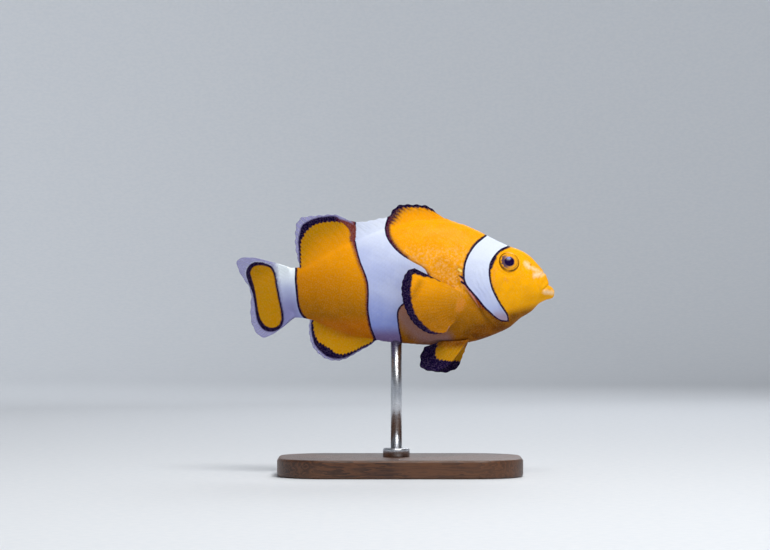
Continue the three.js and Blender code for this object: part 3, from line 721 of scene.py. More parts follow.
def fin_grid(fin):
    """Middle surface of a fin on the straight fish, with each point's place along and up it."""
    columns, rows = fin["rays"] * fin["steps"], fin["rows"]
    root = outline(fin["root"], columns + 1)[:, None]
    margin = outline(fin["margin"], columns + 1)[:, None]
    u = np.linspace(0, 1, columns + 1)[:, None]
    v = np.linspace(0, 1, rows + 1)[None, :] + 0 * u
    u = u + 0 * v
    length = np.linalg.norm(margin - root, axis=-1)
    scallop = fin["scallop"] * (0.5 - 0.5 * np.cos(2 * math.pi * fin["rays"] * u))
    reach = v * (1 - (scallop + FIN_INSET) / np.maximum(length, 1))
    middle = root + (margin - root) * reach[..., None]
    return middle, u, v, length


def fin_sheet(fin):
    """Both faces of a fin: points by face, column and row, and the height of its rays."""
    middle, u, v, length = fin_grid(fin)
    along = np.gradient(middle, axis=0)
    up = np.gradient(middle, axis=1)
    side = np.cross(along, up)
    side = side / np.maximum(np.linalg.norm(side, axis=-1, keepdims=True), 1e-9)
    crest = ray_height(u, v, fin["rays"], fin["splits"])
    flesh = np.exp(-((v * length / fin["fleshy"]) ** 2))
    web = WEB_HALF - WEB_TAPER * v + fin["ribs"] * crest * (1 - 0.7 * v) * fade(v, 0.05, 0.2)
    half = web * (1 - fade(v, 0.93, 1.0) * 0.4) + (fin["root_half"] - ROOT_WEB) * flesh
    sway = fin["sway"] * v**2 * np.sin(2 * math.pi * (fin["waves"] * u + SWAY_SHIFT))
    sway = sway + 0.25 * web * np.sin(2 * math.pi * fin["rays"] * u) * v
    faces = [middle + side * (sway + sign * half)[..., None] for sign in (1, -1)]
    return np.stack(faces), crest, v


def sheet_faces(columns, rows):
    """Quads that close a two-faced sheet, as corner numbers (face, column, row)."""
    cells = [(0, i, j) for i in range(columns) for j in range(rows)]
    quads = [[(0, i, j), (0, i + 1, j), (0, i + 1, j + 1), (0, i, j + 1)] for _, i, j in cells]
    quads += [[(1, i, j), (1, i, j + 1), (1, i + 1, j + 1), (1, i + 1, j)] for _, i, j in cells]
    for i in range(columns):
        quads.append([(0, i, 0), (1, i, 0), (1, i + 1, 0), (0, i + 1, 0)])
        quads.append([(0, i, rows), (0, i + 1, rows), (1, i + 1, rows), (1, i, rows)])
    for j in range(rows):
        quads.append([(0, 0, j), (0, 0, j + 1), (1, 0, j + 1), (1, 0, j)])
        quads.append([(0, columns, j), (1, columns, j), (1, columns, j + 1), (0, columns, j + 1)])
    return np.array(quads)


# %% [markdown]
# ## Colours of the fins
#
# Every fin has a black band along its margin, and most have a thin clear rim outside it. The
# widths of rim and band change along the margin, so each fin lists them from its front end to its
# rear end. Rays push little teeth into the band's inner edge. On the tail the band is a closed
# ring around an orange patch.

# %% Bands along the margins
# (place along the margin, width of the clear rim, width of the black band)
SPINY_BANDS = [
    (0.00, -0.1, 0.0), (0.11, -0.1, 0.05), (0.15, -0.1, 0.7), (0.19, -0.1, 1.1), (0.26, -0.1, 1.1),
    (0.30, -0.1, 1.1), (0.34, -0.1, 1.1), (0.37, -0.1, 0.8), (0.385, -0.1, 0.0), (1.00, -0.1, 0.0),
]
SOFT_BAND_OUTER = [
    [-11.9, 10.0], [-12.0, 12.5], [-12.1, 15.0], [-12.1, 17.0], [-12.6, 17.8], [-13.9, 18.5],
    [-16.2, 19.2], [-17.4, 20.0], [-20.6, 19.9], [-23.0, 19.5], [-25.3, 18.5], [-26.6, 17.5],
    [-27.1, 16.0], [-27.6, 13.6], [-27.5, 11.2], [-27.4, 8.5], [-27.2, 5.0],
]
SOFT_BAND_INNER = [
    [-11.9, 10.0], [-12.5, 11.9], [-13.2, 13.1], [-13.4, 14.9], [-13.8, 16.4], [-14.9, 17.6],
    [-16.2, 18.2], [-17.8, 18.5], [-21.1, 18.2], [-23.0, 17.6], [-24.4, 16.7], [-25.3, 15.9],
    [-26.1, 14.6], [-26.8, 13.0], [-26.9, 11.2], [-26.9, 8.5], [-26.8, 5.0],
]
ANAL_BANDS = [
    (0.00, 0.1, 0.5), (0.10, 0.2, 0.55), (0.20, 0.3, 0.65), (0.30, 0.35, 0.85), (0.385, 0.45, 1.2),
    (0.44, 0.55, 1.55), (0.52, 0.75, 2.15), (0.59, 0.85, 2.35), (0.66, 0.9, 2.0), (0.75, 0.85, 1.4),
    (0.82, 0.8, 1.05), (0.93, 0.6, 0.75), (1.00, 0.3, 0.55),
]
PECTORAL_BANDS = [
    (0.00, -0.1, 1.5), (0.05, -0.1, 1.9), (0.12, -0.1, 2.4), (0.20, -0.1, 2.75), (0.32, -0.1, 2.8),
    (0.44, -0.1, 2.5), (0.56, -0.1, 2.15), (0.67, -0.1, 1.8), (0.78, -0.1, 1.15), (0.84, -0.1, 0.7),
    (0.89, -0.1, 0.35), (0.93, -0.1, 0.0), (1.00, -0.1, 0.0),
]
# How far the black band reaches under the clear rim.
RIM_LAP = 0.25
SOFT_BAND_FRONT = -11.6
SOFT_RIM_FRONT = -13.0
DASHES_FRONT = 11.0
SMOKE_SLANT = math.radians(30)
SMOKE_GAP = 1.0
PELVIC_INK = {
    "right": [[10.4, -12.0], [10.0, -14.6], [9.5, -17.3], [10.0, -18.4], [11.4, -18.8],
              [14.0, -19.2], [17.0, -19.6]],
    "left": [[8.8, -12.0], [8.6, -14.6], [8.4, -17.0], [9.6, -18.5], [12.5, -19.0],
             [16.5, -19.3], [19.0, -19.4]],
}


def flat_pairs(points):
    """The side-view places of a line in space."""
    return [[point[0], point[-1]] for point in points]


def banded(x, z, margin, bands, teeth):
    """Depth inside the black band and inside the clear rim of a fin's margin."""
    signed, along = measure(x, z, outline(margin, 160))
    away = np.abs(signed)
    rim = profile([(place, rim) for place, rim, band in bands], along)
    band = profile([(place, band) for place, rim, band in bands], along)
    reach = rim + band + teeth * fade(band, 0.1, 0.6)
    ink = np.minimum(away - rim + RIM_LAP, reach - away)
    return np.where(band > 0.05, ink, NO_BAND), rim - away


def dorsal_smoke(x, z):
    """Dark slanting streaks under the margin of the spiny part of the back fin, from 0 to 1."""
    signed, along = measure(x, z, outline(flat_pairs(DORSAL_MARGIN), 160))
    across = x * math.sin(SMOKE_SLANT) + z * math.cos(SMOKE_SLANT)
    wander = 1.1 * np.sin(0.7 * x + 0.4) + 0.6 * np.sin(2.1 * x - 1.3 * z)
    streak = 0.5 + 0.5 * np.sin(2 * math.pi * across / SMOKE_GAP + wander)
    heavy = fade(along, 0.24, 0.34)
    reach = 2.4 + 1.6 * heavy
    depth = 1 - fade(np.abs(signed), 0.2 * reach, reach)
    haze = 0.85 * heavy * (1 - fade(np.abs(signed), 0.8, 3.2))
    window = fade(along, 0.12, 0.2) * (1 - fade(x, 9.0, 11.5)) * fade(x, -4.4, -3.8)
    return np.clip((depth * (0.1 + (0.6 + 0.35 * heavy) * streak**1.5) + haze) * window, 0, 0.95)


def fin_markings(fin, points, crest, v):
    """The markings' distances on one fin."""
    x, z = side_chart(*np.moveaxis(points, -1, 0))
    marks = body_markings(x, z, fin["name"] == "tail")
    marks["ray"] = crest
    marks["fin"] = fade(v, 0.0, fin["change"]) + 0 * x
    teeth = 0.34 * (crest - 0.5) + 0.14 * np.sin(2.9 * x + 2.1 * z) * np.sin(1.7 * z - 3.3 * x)
    if fin["name"] == "dorsal":
        marks["smoke"] = np.maximum(marks["smoke"], dorsal_smoke(x, z))
    if fin["paired"]:
        marks["white_mm"] = np.full(x.shape, NO_WHITE)
        marks["pale_mm"] = patch_depth(x, z, FIN_BASE_PATCH)
        # The breast fins get painted shade only along that fold.
        marks["shade_mm"] = patch_depth(x, z, FIN_FOLD_SHADE)
        marks["fin_shadow_mm"] = np.full(x.shape, NO_FIN_SHADOW)
        marks["smoke"] = np.zeros(x.shape)
    if "bands" in fin:
        margin = flat_pairs(fin["margin"])
        marks["ink_mm"], marks["rim_mm"] = banded(x, z, margin, fin["bands"], teeth)
    if fin["name"] == "dorsal":
        inside = measure(x, z, outline(SOFT_BAND_OUTER, 90))[0]
        beyond = -measure(x, z, outline(SOFT_BAND_INNER, 90))[0]
        soft = x < SOFT_BAND_FRONT
        band = np.minimum(inside + RIM_LAP, beyond + teeth)
        rim = np.minimum(-inside, 0.5 * (SOFT_RIM_FRONT - x))
        marks["ink_mm"] = np.where(soft, band, marks["ink_mm"])
        marks["rim_mm"] = np.where(soft, rim, NO_BAND)
    if "ink_line" in fin:
        marks["ink_mm"] = teeth - measure(x, z, outline(fin["ink_line"], 40))[0]
    if fin["name"] == "tail":
        marks = tail_markings(x, z, marks)
    if "upper_edge" in fin:
        top = np.array(fin["upper_edge"])
        away = np.abs(measure(x, z, top)[0])
        dashes = 0.15 + 1.05 * fade(x, 9.8, 4.8) + 0.1 * np.sin(3.2 * x)
        dashes = np.where(x < DASHES_FRONT, dashes - away, NO_BAND)
        marks["ink_mm"] = np.maximum(marks["ink_mm"], dashes)
    return marks


# %% The list of fins
def fin_list():
    """What each fin is made of."""
    common = {"steps": 8, "paired": False, "splits": 1, "scallop": 0.18, "sway": 0.2, "waves": 2,
              "ribs": 0.06, "fleshy": 1.8, "root_half": 0.6, "change": 0.4}
    fins = [
        {**common, "name": "dorsal", "rays": 26, "rows": 20, "scallop": 0.3,
         "root": edge_root(BACK, DORSAL_ROOT, -ROOT_SINK), "margin": flat(DORSAL_MARGIN),
         "bands": SPINY_BANDS, "waves": 3, "fleshy": 2.6, "change": 0.8},
        {**common, "name": "anal", "rays": 14, "rows": 20, "bands": ANAL_BANDS,
         "root": edge_root(BELLY, ANAL_ROOT, ROOT_SINK), "margin": flat(ANAL_MARGIN)},
        {**common, "name": "tail", "rays": 16, "rows": 38, "steps": 10, "splits": 2, "ribs": 0.02,
         "root": flat(TAIL_ROOT), "margin": flat(TAIL_MARGIN), "root_half": 0.8, "fleshy": 3.6,
         "sway": 0.1},
    ]
    for side, sign in (("right", -1), ("left", 1)):
        root, margin = pectoral_lines(sign)
        fins.append({**common, "name": f"pectoral_{side}", "rays": 17, "rows": 36, "splits": 2,
                     "root": root, "margin": margin, "bands": PECTORAL_BANDS, "paired": True,
                     "upper_edge": [PECTORAL_ROOT[0], PECTORAL_MARGIN[0]], "waves": 1.5,
                     "ribs": 0.025, "sway": 0.35})
        root, margin = pelvic_lines(sign)
        fins.append({**common, "name": f"pelvic_{side}", "rays": 6, "rows": 26, "steps": 10,
                     "root": root, "margin": margin, "ink_line": PELVIC_INK[side], "paired": True,
                     "splits": 2, "scallop": 0.3, "fleshy": 2.8, "ribs": 0.14})
    return fins


fins = fin_list()
print("fins:", ", ".join(fin["name"] for fin in fins))


# %% The fins' meshes
CHART_GAP = 0.008
# Left, right, lower and upper ends of the free parts of the bake map.
SHELVES = [(0.57, 1.0, 0.0, 0.66), (0.0, 1.0, 0.67, 1.0)]


def shelf_places(sizes):
    """Lower left corners of charts on shelves: beside the body's charts first, then above."""
    regions = list(SHELVES)
    corners = []
    region = regions.pop(0)
    x, y, shelf = region[0], region[2], 0.0
    for width, height in sizes:
        if x + width > region[1]:
            x, y, shelf = region[0], y + shelf, 0.0
        if y + height > region[3]:
            region = regions.pop(0)
            x, y, shelf = region[0], region[2], 0.0
        corners.append((x, y))
        x, shelf = x + width + CHART_GAP, max(shelf, height + CHART_GAP)
    return corners


def fin_piece(fin, corner):
    """One fin as a closed mesh with its markings and its charts on the bake map."""
    faces, crest, v = fin_sheet(fin)
    quads = sheet_faces(faces.shape[1] - 1, faces.shape[2] - 1)
    points = bend(faces) + [0, 0, AXIS_HEIGHT]
    index = np.ravel_multi_index(np.moveaxis(quads, -1, 0), faces.shape[:3])
    if fin["flip"]:
        index = index[:, ::-1]
        quads = quads[:, ::-1]
    piece = make_piece("fin_" + fin["name"], points, index.tolist())
    marks = fin_markings(fin, faces, np.stack([crest, crest]), v)
    paint(piece.data, marks)
    paint(piece.data, {"own": np.ones(faces.shape[:3])})
    low = faces[0].reshape(-1, 3).min(axis=0)
    f, i, j = np.moveaxis(quads, -1, 0)
    places = (faces[f, i, j][..., [0, 2]] - low[[0, 2]]) * CHART_SCALE
    places[..., 0] += corner[0] + np.where(f[:, :1] == 1, fin["chart"][0] + CHART_GAP, 0)
    places[..., 1] += corner[1]
    unwrap(piece.data, places)
    return piece


def volume_of(points, faces):
    """Signed volume of a closed mesh of quads."""
    a, b, c, d = (points[faces[:, k]] for k in range(4))
    return (np.einsum("ij,ij->i", a, np.cross(b, c)) + np.einsum("ij,ij->i", a, np.cross(c, d))).sum()


for fin in fins:
    sheet = fin_sheet(fin)[0]
    quads = sheet_faces(sheet.shape[1] - 1, sheet.shape[2] - 1)
    index = np.ravel_multi_index(np.moveaxis(quads, -1, 0), sheet.shape[:3])
    fin["flip"] = bool(volume_of(bend(sheet).reshape(-1, 3), index) < 0)
    size = sheet.reshape(-1, 3).max(axis=0) - sheet.reshape(-1, 3).min(axis=0)
    fin["chart"] = size[[0, 2]] * CHART_SCALE
corners = shelf_places([(2 * fin["chart"][0] + CHART_GAP, fin["chart"][1]) for fin in fins])
fin_pieces = [fin_piece(fin, corner) for fin, corner in zip(fins, corners)]
print("fin faces:", sum(len(piece.data.polygons) for piece in fin_pieces))

# %% [markdown]
# ## One skin
#
# On a living fish the skin runs over body and fins without a seam. A Boolean union makes the
# closed pieces one mesh and drops what lies inside. Where two surfaces meet it leaves a sharp
# crease, so the points near the joins are relaxed towards their neighbours until they form a
# soft hollow. New points on the joins take their markings from the points around them.

# %% Join body and fins
MARK_ROUNDS = 4
RELAX_ROUNDS = 14
RELAX_REACH = 6
RELAX_FADE = 0.8
RELAX_STEP = 0.5


def union(base, others):
    """Joins closed pieces into the base piece's mesh."""
    for other in others:
        join = base.modifiers.new("join", "BOOLEAN")
        join.operation = "UNION"
        join.solver = "MANIFOLD"
        join.object = other
    view = bpy.context.evaluated_depsgraph_get()
    mesh = bpy.data.meshes.new_from_object(base.evaluated_get(view))
    base.modifiers.clear()
    old = base.data
    base.data = mesh
    bpy.data.meshes.remove(old)
    mesh.name = base.name
    for other in others:
        data = other.data
        bpy.data.objects.remove(other)
        bpy.data.meshes.remove(data)


def read(mesh, name):
    """A painted value of every vertex."""
    values = np.empty(len(mesh.vertices), np.float32)
    mesh.attributes[name].data.foreach_get("value", values)
    return values.astype(float)


def neighbour_mean(values, edges, weight):
    """Weighted mean over each vertex's neighbours, and the weight that went into it."""
    total = np.zeros((len(weight), values.shape[1]))
    share = np.zeros(len(weight))
    for a, b in ((0, 1), (1, 0)):
        w = weight[edges[:, b]]
        np.add.at(total, edges[:, a], values[edges[:, b]] * w[:, None])
        np.add.at(share, edges[:, a], w)
    return total / np.maximum(share, 1e-9)[:, None], share


def soften_joins(mesh, names):
    """Gives new vertices their markings and relaxes the creases where pieces were joined."""
    edges = np.empty(2 * len(mesh.edges), np.int32)
    mesh.edges.foreach_get("vertices", edges)
    edges = edges.reshape(-1, 2)
    own = read(mesh, "own") > 0.99
    marks = np.stack([read(mesh, name) for name in names], 1)
    known = own.astype(float)
    for _ in range(MARK_ROUNDS):
        mean, share = neighbour_mean(marks, edges, known)
        fresh = (known == 0) & (share > 0)
        marks[fresh] = mean[fresh]
        known[fresh] = 1.0
    for k, name in enumerate(names):
        mesh.attributes[name].data.foreach_set("value", marks[:, k].astype(np.float32))
    near = (~own).astype(float)
    even = np.ones(len(near))
    for _ in range(RELAX_REACH):
        beside = neighbour_mean(near[:, None], edges, even)[0][:, 0]
        near = np.maximum(near, RELAX_FADE * np.minimum(1, 3 * beside))
    points = np.empty(3 * len(mesh.vertices), np.float32)
    mesh.vertices.foreach_get("co", points)
    points = points.reshape(-1, 3).astype(float)
    for _ in range(RELAX_ROUNDS):
        mean = neighbour_mean(points, edges, even)[0]
        points += RELAX_STEP * near[:, None] * (mean - points)
    mesh.vertices.foreach_set("co", points.ravel().astype(np.float32))
    mesh.attributes.remove(mesh.attributes["own"])
    return int((~own).sum())


union(skin, fin_pieces)
joined = soften_joins(skin.data, list(body_marks))
skin.data.shade_smooth()
triangles = sum(len(face.vertices) - 2 for face in skin.data.polygons)
print("skin triangles:", triangles, "new points:", joined)

# %% [markdown]
# ## Effects shared by the materials
#
# Two effects are used again and again, so each is a node group that is built once. One turns a
# distance into a mask with a slightly ragged edge, as colour cells in skin never line up
# perfectly. The other gives an even grain of light and dark. The groups put out values only,
# and the shader stays in each material.

# %% Node helpers
def linear(red, green, blue):
    """A colour from its 0-255 display values."""
    return tuple((c / 255) ** 2.2 for c in (red, green, blue)) + (1.0,)


class Nodes:
    """A short way to add nodes to a tree and link them."""

    def __init__(self, tree):
        """Starts with an empty tree."""
        self.tree = tree
        self.tree.nodes.clear()

    def add(self, kind, settings=None, **inputs):
        """Adds a node, sets its properties and its sockets by name or number, and returns it."""
        node = self.tree.nodes.new(kind)
        for name, value in (settings or {}).items():
            setattr(node, name, value)
        for name, value in inputs.items():
            key = int(name[1:]) if name[0] == "_" else name.replace("_", " ")
            self.feed(node.inputs[key], value)
        return node

    def feed(self, socket, value):
        """Links an output or sets a plain value."""
        if isinstance(value, bpy.types.NodeSocket):
            self.tree.links.new(value, socket)
        else:
            socket.default_value = value

    def group(self, tree, **inputs):
        """The first output of a shared effect placed in this tree."""
        return self.add("ShaderNodeGroup", {"node_tree": tree}, **inputs).outputs[0]

    def value(self, name):
        """A value painted on the mesh."""
        return self.add("ShaderNodeAttribute", {"attribute_name": name}).outputs["Fac"]

    def place(self):
        """The point's place in the frame, in millimetres."""
        at = self.add("ShaderNodeTexCoord").outputs["Object"]
        scaled = self.add("ShaderNodeVectorMath", {"operation": "SCALE"}, _0=at)
        scaled.inputs["Scale"].default_value = 1 / MM
        return scaled.outputs[0]

    def side_view(self, at):
        """How far ahead a point lies, and how high over the middle of the fish."""
        split = self.add("ShaderNodeSeparateXYZ", None, _0=at)
        return split.outputs["X"], self.minus(split.outputs["Z"], AXIS_HEIGHT)

    def noise(self, at, scale, detail=3.0, stretch=(1, 1, 1)):
        """Noise with `scale` lumps to the millimetre, from 0 to 1."""
        wide = self.add("ShaderNodeVectorMath", {"operation": "MULTIPLY"}, _0=at, _1=stretch)
        return self.add("ShaderNodeTexNoise", None, Vector=wide.outputs[0], Scale=scale,
                        Detail=detail).outputs["Fac"]

    def blend(self, under, over, mask):
        """`over` laid on `under` where the mask is 1."""
        mix = self.add("ShaderNodeMix", {"data_type": "RGBA"})
        self.feed(mix.inputs["Factor"], mask)
        self.feed(mix.inputs[6], under)
        self.feed(mix.inputs[7], over)
        return mix.outputs[2]

    def ramp(self, value, low, high, start=0.0, end=1.0):
        """The value's range from `low` to `high` stretched to `start` and `end`."""
        node = self.add("ShaderNodeMapRange", {"interpolation_type": "SMOOTHSTEP"}, Value=value)
        node.inputs["From Min"].default_value = low
        node.inputs["From Max"].default_value = high
        node.inputs["To Min"].default_value = start
        node.inputs["To Max"].default_value = end
        return node.outputs[0]

    def math(self, operation, a, b=0.0, clamp=False):
        """The result of one Math node."""
        settings = {"operation": operation, "use_clamp": clamp}
        return self.add("ShaderNodeMath", settings, _0=a, _1=b).outputs[0]

    def times(self, product, *factors):
        """Two or more values multiplied."""
        for factor in factors:
            product = self.math("MULTIPLY", product, factor)
        return product

    def plus(self, a, b, clamp=False):
        """The sum of two values."""
        return self.math("ADD", a, b, clamp)

    def minus(self, a, b, clamp=False):
        """The first value less the second."""
        return self.math("SUBTRACT", a, b, clamp)

    def inverse(self, mask):
        """1 where the mask is 0, and 0 where it is 1."""
        return self.minus(1.0, mask)

    def larger(self, a, b):
        """The larger of two values."""
        return self.math("MAXIMUM", a, b)

    def smaller(self, a, b):
        """The smaller of two values."""
        return self.math("MINIMUM", a, b)

    def hypot(self, a, b):
        """The long side of a right triangle with the sides `a` and `b`."""
        return self.math("SQRT", self.plus(self.times(a, a), self.times(b, b)))

    def away(self, x, z, start, end):
        """Distance of a side-view place from a straight stroke."""
        (ax, az), (bx, bz) = start, end
        length = math.hypot(bx - ax, bz - az)
        tx, tz = (bx - ax) / length, (bz - az) / length
        x, z = self.minus(x, ax), self.minus(z, az)
        along = self.plus(self.times(x, tx), self.times(z, tz))
        across = self.minus(self.times(x, tz), self.times(z, tx))
        before = self.larger(self.times(along, -1.0), 0.0)
        return self.hypot(across, self.larger(self.minus(along, length), before))

    def above(self, x, z, point, slope):
        """Height of a side-view place over a slanting line through a point."""
        rise = self.times(self.minus(x, point[0]), slope)
        return self.minus(self.minus(z, point[1]), rise)


def effect(name, inputs, outputs):
    """An empty node group with named inputs (and their defaults) and named outputs."""
    tree = bpy.data.node_groups.new(name, "ShaderNodeTree")
    nodes = Nodes(tree)
    for label, kind, default in inputs:
        socket = tree.interface.new_socket(name=label, in_out="INPUT", socket_type=kind)
        if default is not None:
            socket.default_value = default
    for label, kind in outputs:
        tree.interface.new_socket(name=label, in_out="OUTPUT", socket_type=kind)
    return tree, nodes, nodes.add("NodeGroupInput").outputs, nodes.add("NodeGroupOutput").inputs


# %% The shared effects
def marking_effect():
    """A mask from a distance: 1 inside, 0 outside, with an edge that is ragged and soft."""
    tree, nodes, given, result = effect(
        "marking",
        [("Distance", "NodeSocketFloat", 0.0), ("At", "NodeSocketVector", None),
         ("Ragged", "NodeSocketFloat", 0.1), ("Soft", "NodeSocketFloat", 0.06)],
        [("Mask", "NodeSocketFloat")],
    )
    coarse = nodes.noise(given["At"], 1.6, 2.0)
    fine = nodes.noise(given["At"], 7.0, 2.0)
    centred = nodes.minus(nodes.plus(coarse, nodes.times(fine, 0.6)), 0.8)
    shifted = nodes.plus(given["Distance"], nodes.times(centred, given["Ragged"]))
    share = nodes.math("DIVIDE", shifted, given["Soft"])
    nodes.feed(result["Mask"], nodes.plus(nodes.times(share, 0.5), 0.5, clamp=True))
    return tree


def mottle_effect():
    """Soft lumps of light and dark, from Low to High."""
    tree, nodes, given, result = effect(
        "mottle",
        [("At", "NodeSocketVector", None), ("Size", "NodeSocketFloat", 1.0),
         ("Low", "NodeSocketFloat", 0.0), ("High", "NodeSocketFloat", 1.0)],
        [("Value", "NodeSocketFloat")],
    )
    per_mm = nodes.math("DIVIDE", 1.0, given["Size"])
    spread = nodes.ramp(nodes.noise(given["At"], per_mm, 4.0), 0.35, 0.65)
    span = nodes.minus(given["High"], given["Low"])
    nodes.feed(result["Value"], nodes.plus(nodes.times(spread, span), given["Low"]))
    return tree


MARKING = marking_effect()
MOTTLE = mottle_effect()
print("shared effects:", MARKING.name, MOTTLE.name)


# %% Short calls for the materials
def masks_at(nodes, at):
    """A function that turns a distance, its raggedness and its softness into a mask."""
    return lambda distance, ragged, soft: nodes.group(
        MARKING, Distance=distance, At=at, Ragged=ragged, Soft=soft)


def mottled(nodes, at, size, low, high):
    """Lumps `size` millimetres wide, from `low` to `high`."""
    return nodes.group(MOTTLE, At=at, Size=size, Low=low, High=high)


def raise_by(nodes, shader, height, strength, depth):
    """Lets a value raise the surface, by up to `depth` millimetres."""
    bump = nodes.add("ShaderNodeBump", None, Height=height)
    bump.inputs["Strength"].default_value = strength
    bump.inputs["Distance"].default_value = depth * MM
    nodes.feed(shader.inputs["Normal"], bump.outputs[0])


def new_material(name):
    """A material with an empty tree, its principled shader and its output."""
    material = bpy.data.materials.new(name)
    material.use_nodes = True
    nodes = Nodes(material.node_tree)
    shader = nodes.add("ShaderNodeBsdfPrincipled")
    nodes.add("ShaderNodeOutputMaterial", None, Surface=shader.outputs[0])
    return material, nodes, shader


# %% [markdown]
# ## The material of skin, scales and fins
#
# A wet fish has a thin clear slime over coloured cells, so the shader has a thin coat over a
# satin base. The colours are laid on in the order in which they hide each other: orange with its
# lighter and darker parts, which are partly painted light and shade, patches of painted shade, the
# breast fin's painted shadow and pale patches, small marks, black edges, white bars with painted
# shade, and on the fins the band and the clear rim. Each function lays its colours over the ones
# before, and its places are millimetres ahead of and above the middle of the fish. The rim lets
# light through by its alpha.

# %% Colours of the fish
HEAD_ORANGE = linear(252, 174, 0)
BRIGHT_ORANGE = linear(252, 165, 0)
DEEP_ORANGE = linear(212, 133, 0)
# Ochre: partly the belly's duller colour, partly painted shade of the underside.
OCHRE = linear(150, 97, 0)
# Painted shade, brown: under the belly and the chin, in shaded patches and at the belly fins' roots.
SHADE_BROWN = linear(112, 66, 3)
FLANK_OCHRE = linear(188, 107, 0)
FIN_OCHRE = linear(196, 142, 0)
FIN_OLIVE = linear(150, 112, 0)
PALE_FLESH = linear(248, 212, 168)
FLUSH = linear(238, 150, 78)
# Painted shadow of the breast fin on the belly, mauve.
FIN_SHADOW_MAUVE = linear(146, 112, 112)
GILL_PINK = linear(218, 142, 130)
# Painted shade in the gill slit, dark red.
GILL_SHADE_RED = linear(140, 56, 34)
SPOT_YELLOW = linear(255, 224, 120)
WHITE = linear(219, 226, 243)
# Painted light: the purer white of the tail's top.
LIT_WHITE = linear(241, 249, 255)
# Painted shade of the white bars: lilac, mauve and rose grey.
SHADE_LILAC_WHITE = linear(138, 152, 218)
SHADE_MAUVE = linear(118, 96, 138)
SHADE_ROSE_GREY = linear(164, 134, 152)
BLACK = linear(34, 12, 54)
BROWN = linear(124, 66, 60)
SMOKE = linear(60, 40, 58)
CLEAR_RIM = linear(150, 146, 200)


# %% Orange of flank, belly and fins
def flank_colours(nodes, x, z, fin, hanging):
    """Bright on head and back, deeper towards the tail, ochre towards the belly: partly the fish's own
    colours, partly painted light from above and painted shade below.
    """
    colour = nodes.blend(DEEP_ORANGE, BRIGHT_ORANGE, nodes.ramp(x, -24.0, 6.0))
    colour = nodes.blend(colour, HEAD_ORANGE, nodes.ramp(x, 18.0, 27.0))
    # Painted light: brighter orange high on the rear flank, where light from above falls.
    upper = nodes.times(nodes.ramp(z, 2.0, 10.0, 0.0, 0.5), nodes.inverse(fin))
    colour = nodes.blend(colour, BRIGHT_ORANGE, nodes.times(upper, nodes.ramp(x, 2.0, -4.0)))
    lit_fin = nodes.times(fin, nodes.ramp(z, -3.0, 4.0))
    behind_face = nodes.inverse(nodes.ramp(x, 22.0, 28.0, 0.0, 0.9))
    keep = nodes.minus(behind_face, nodes.larger(hanging, lit_fin), clamp=True)
    # Ochre towards the belly: partly its duller colour, partly painted shade.
    return nodes.blend(colour, OCHRE, nodes.times(nodes.ramp(z, 8.0, -11.0), keep))


def belly_colours(nodes, colour, x, z, fin):
    """Painted shade: brown under the belly, in a hollow behind the head bar and under the chin's edge;
    and a darker low rear flank.
    """
    flesh = nodes.inverse(fin)
    # Painted shade under the belly, less near the belly fins and none at the rear.
    breast = nodes.times(nodes.ramp(x, 15.0, 24.0, 0.0, 3.5), nodes.ramp(x, 33.0, 27.0))
    under = nodes.ramp(nodes.minus(z, breast), -10.2, -14.0)
    from_pelvic = nodes.away(x, z, (12.5, -13.6), (18.5, -13.2))
    belly = nodes.minus(nodes.ramp(from_pelvic, 0.5, 3.5, 0.8, 1.0), fin, clamp=True)
    belly = nodes.times(belly, nodes.ramp(x, -8.0, -3.0))
    colour = nodes.blend(colour, SHADE_BROWN, nodes.times(under, belly))
    low_rear = nodes.times(nodes.ramp(z, -6.0, -10.0), nodes.ramp(x, -3.0, -7.0), flesh)
    colour = nodes.blend(colour, FLANK_OCHRE, low_rear)
    # Painted shade in a hollow behind the head bar.
    hollow = nodes.ramp(nodes.away(x, z, (11.5, 7.0), (16.0, 3.0)), 3.5, 0.5, 0.0, 0.5)
    colour = nodes.blend(colour, DEEP_ORANGE, nodes.times(hollow, flesh))
    # Painted shade under the lower edge of the cheek.
    over_chin_edge = nodes.above(x, z, (30.0, -4.6), 0.225)
    chin = nodes.times(nodes.ramp(over_chin_edge, 0.0, -2.6, 0.0, 0.9), nodes.ramp(x, 27.0, 30.0))
    return nodes.blend(colour, SHADE_BROWN, chin)


def fin_colours(nodes, colour, x, z, fin, hanging):
    """Ochre rear fins with olive upper edges, and olive belly fins with painted shade at their roots.
    """
    rear = nodes.times(fin, nodes.ramp(x, -10.0, -18.0, 0.0, 0.8))
    colour = nodes.blend(colour, FIN_OCHRE, nodes.larger(rear, hanging))
    pelvic = nodes.times(hanging, nodes.ramp(x, 3.0, 9.0))
    colour = nodes.blend(colour, FIN_OLIVE, pelvic)
    # Painted shade on the belly fins' roots, where the belly hangs over them.
    root = nodes.times(nodes.ramp(z, -16.6, -14.2, 0.0, 0.95), nodes.ramp(x, 3.0, 5.0),
                       nodes.ramp(z, -12.5, -14.0))
    colour = nodes.blend(colour, SHADE_BROWN, root)
    upper = nodes.ramp(nodes.above(x, z, (-25.0, 7.7), 0.61), 1.5, 6.5, 0.0, 0.65)
    olive = nodes.times(upper, nodes.ramp(x, -11.0, -17.0), fin)
    return nodes.blend(colour, FIN_OLIVE, olive)


def orange_of(nodes, at, x, z, fin):
    """All the oranges of the fish with their painted light and shade, and soft deeper lumps."""
    below = nodes.ramp(z, -11.5, -14.0)
    hanging = nodes.times(fin, below, nodes.ramp(x, 5.0, 0.0, 0.68, 1.0))
    colour = flank_colours(nodes, x, z, fin, hanging)
    colour = belly_colours(nodes, colour, x, z, fin)
    colour = fin_colours(nodes, colour, x, z, fin, hanging)
    return nodes.blend(colour, DEEP_ORANGE, mottled(nodes, at, 2.2, 0.0, 0.2))


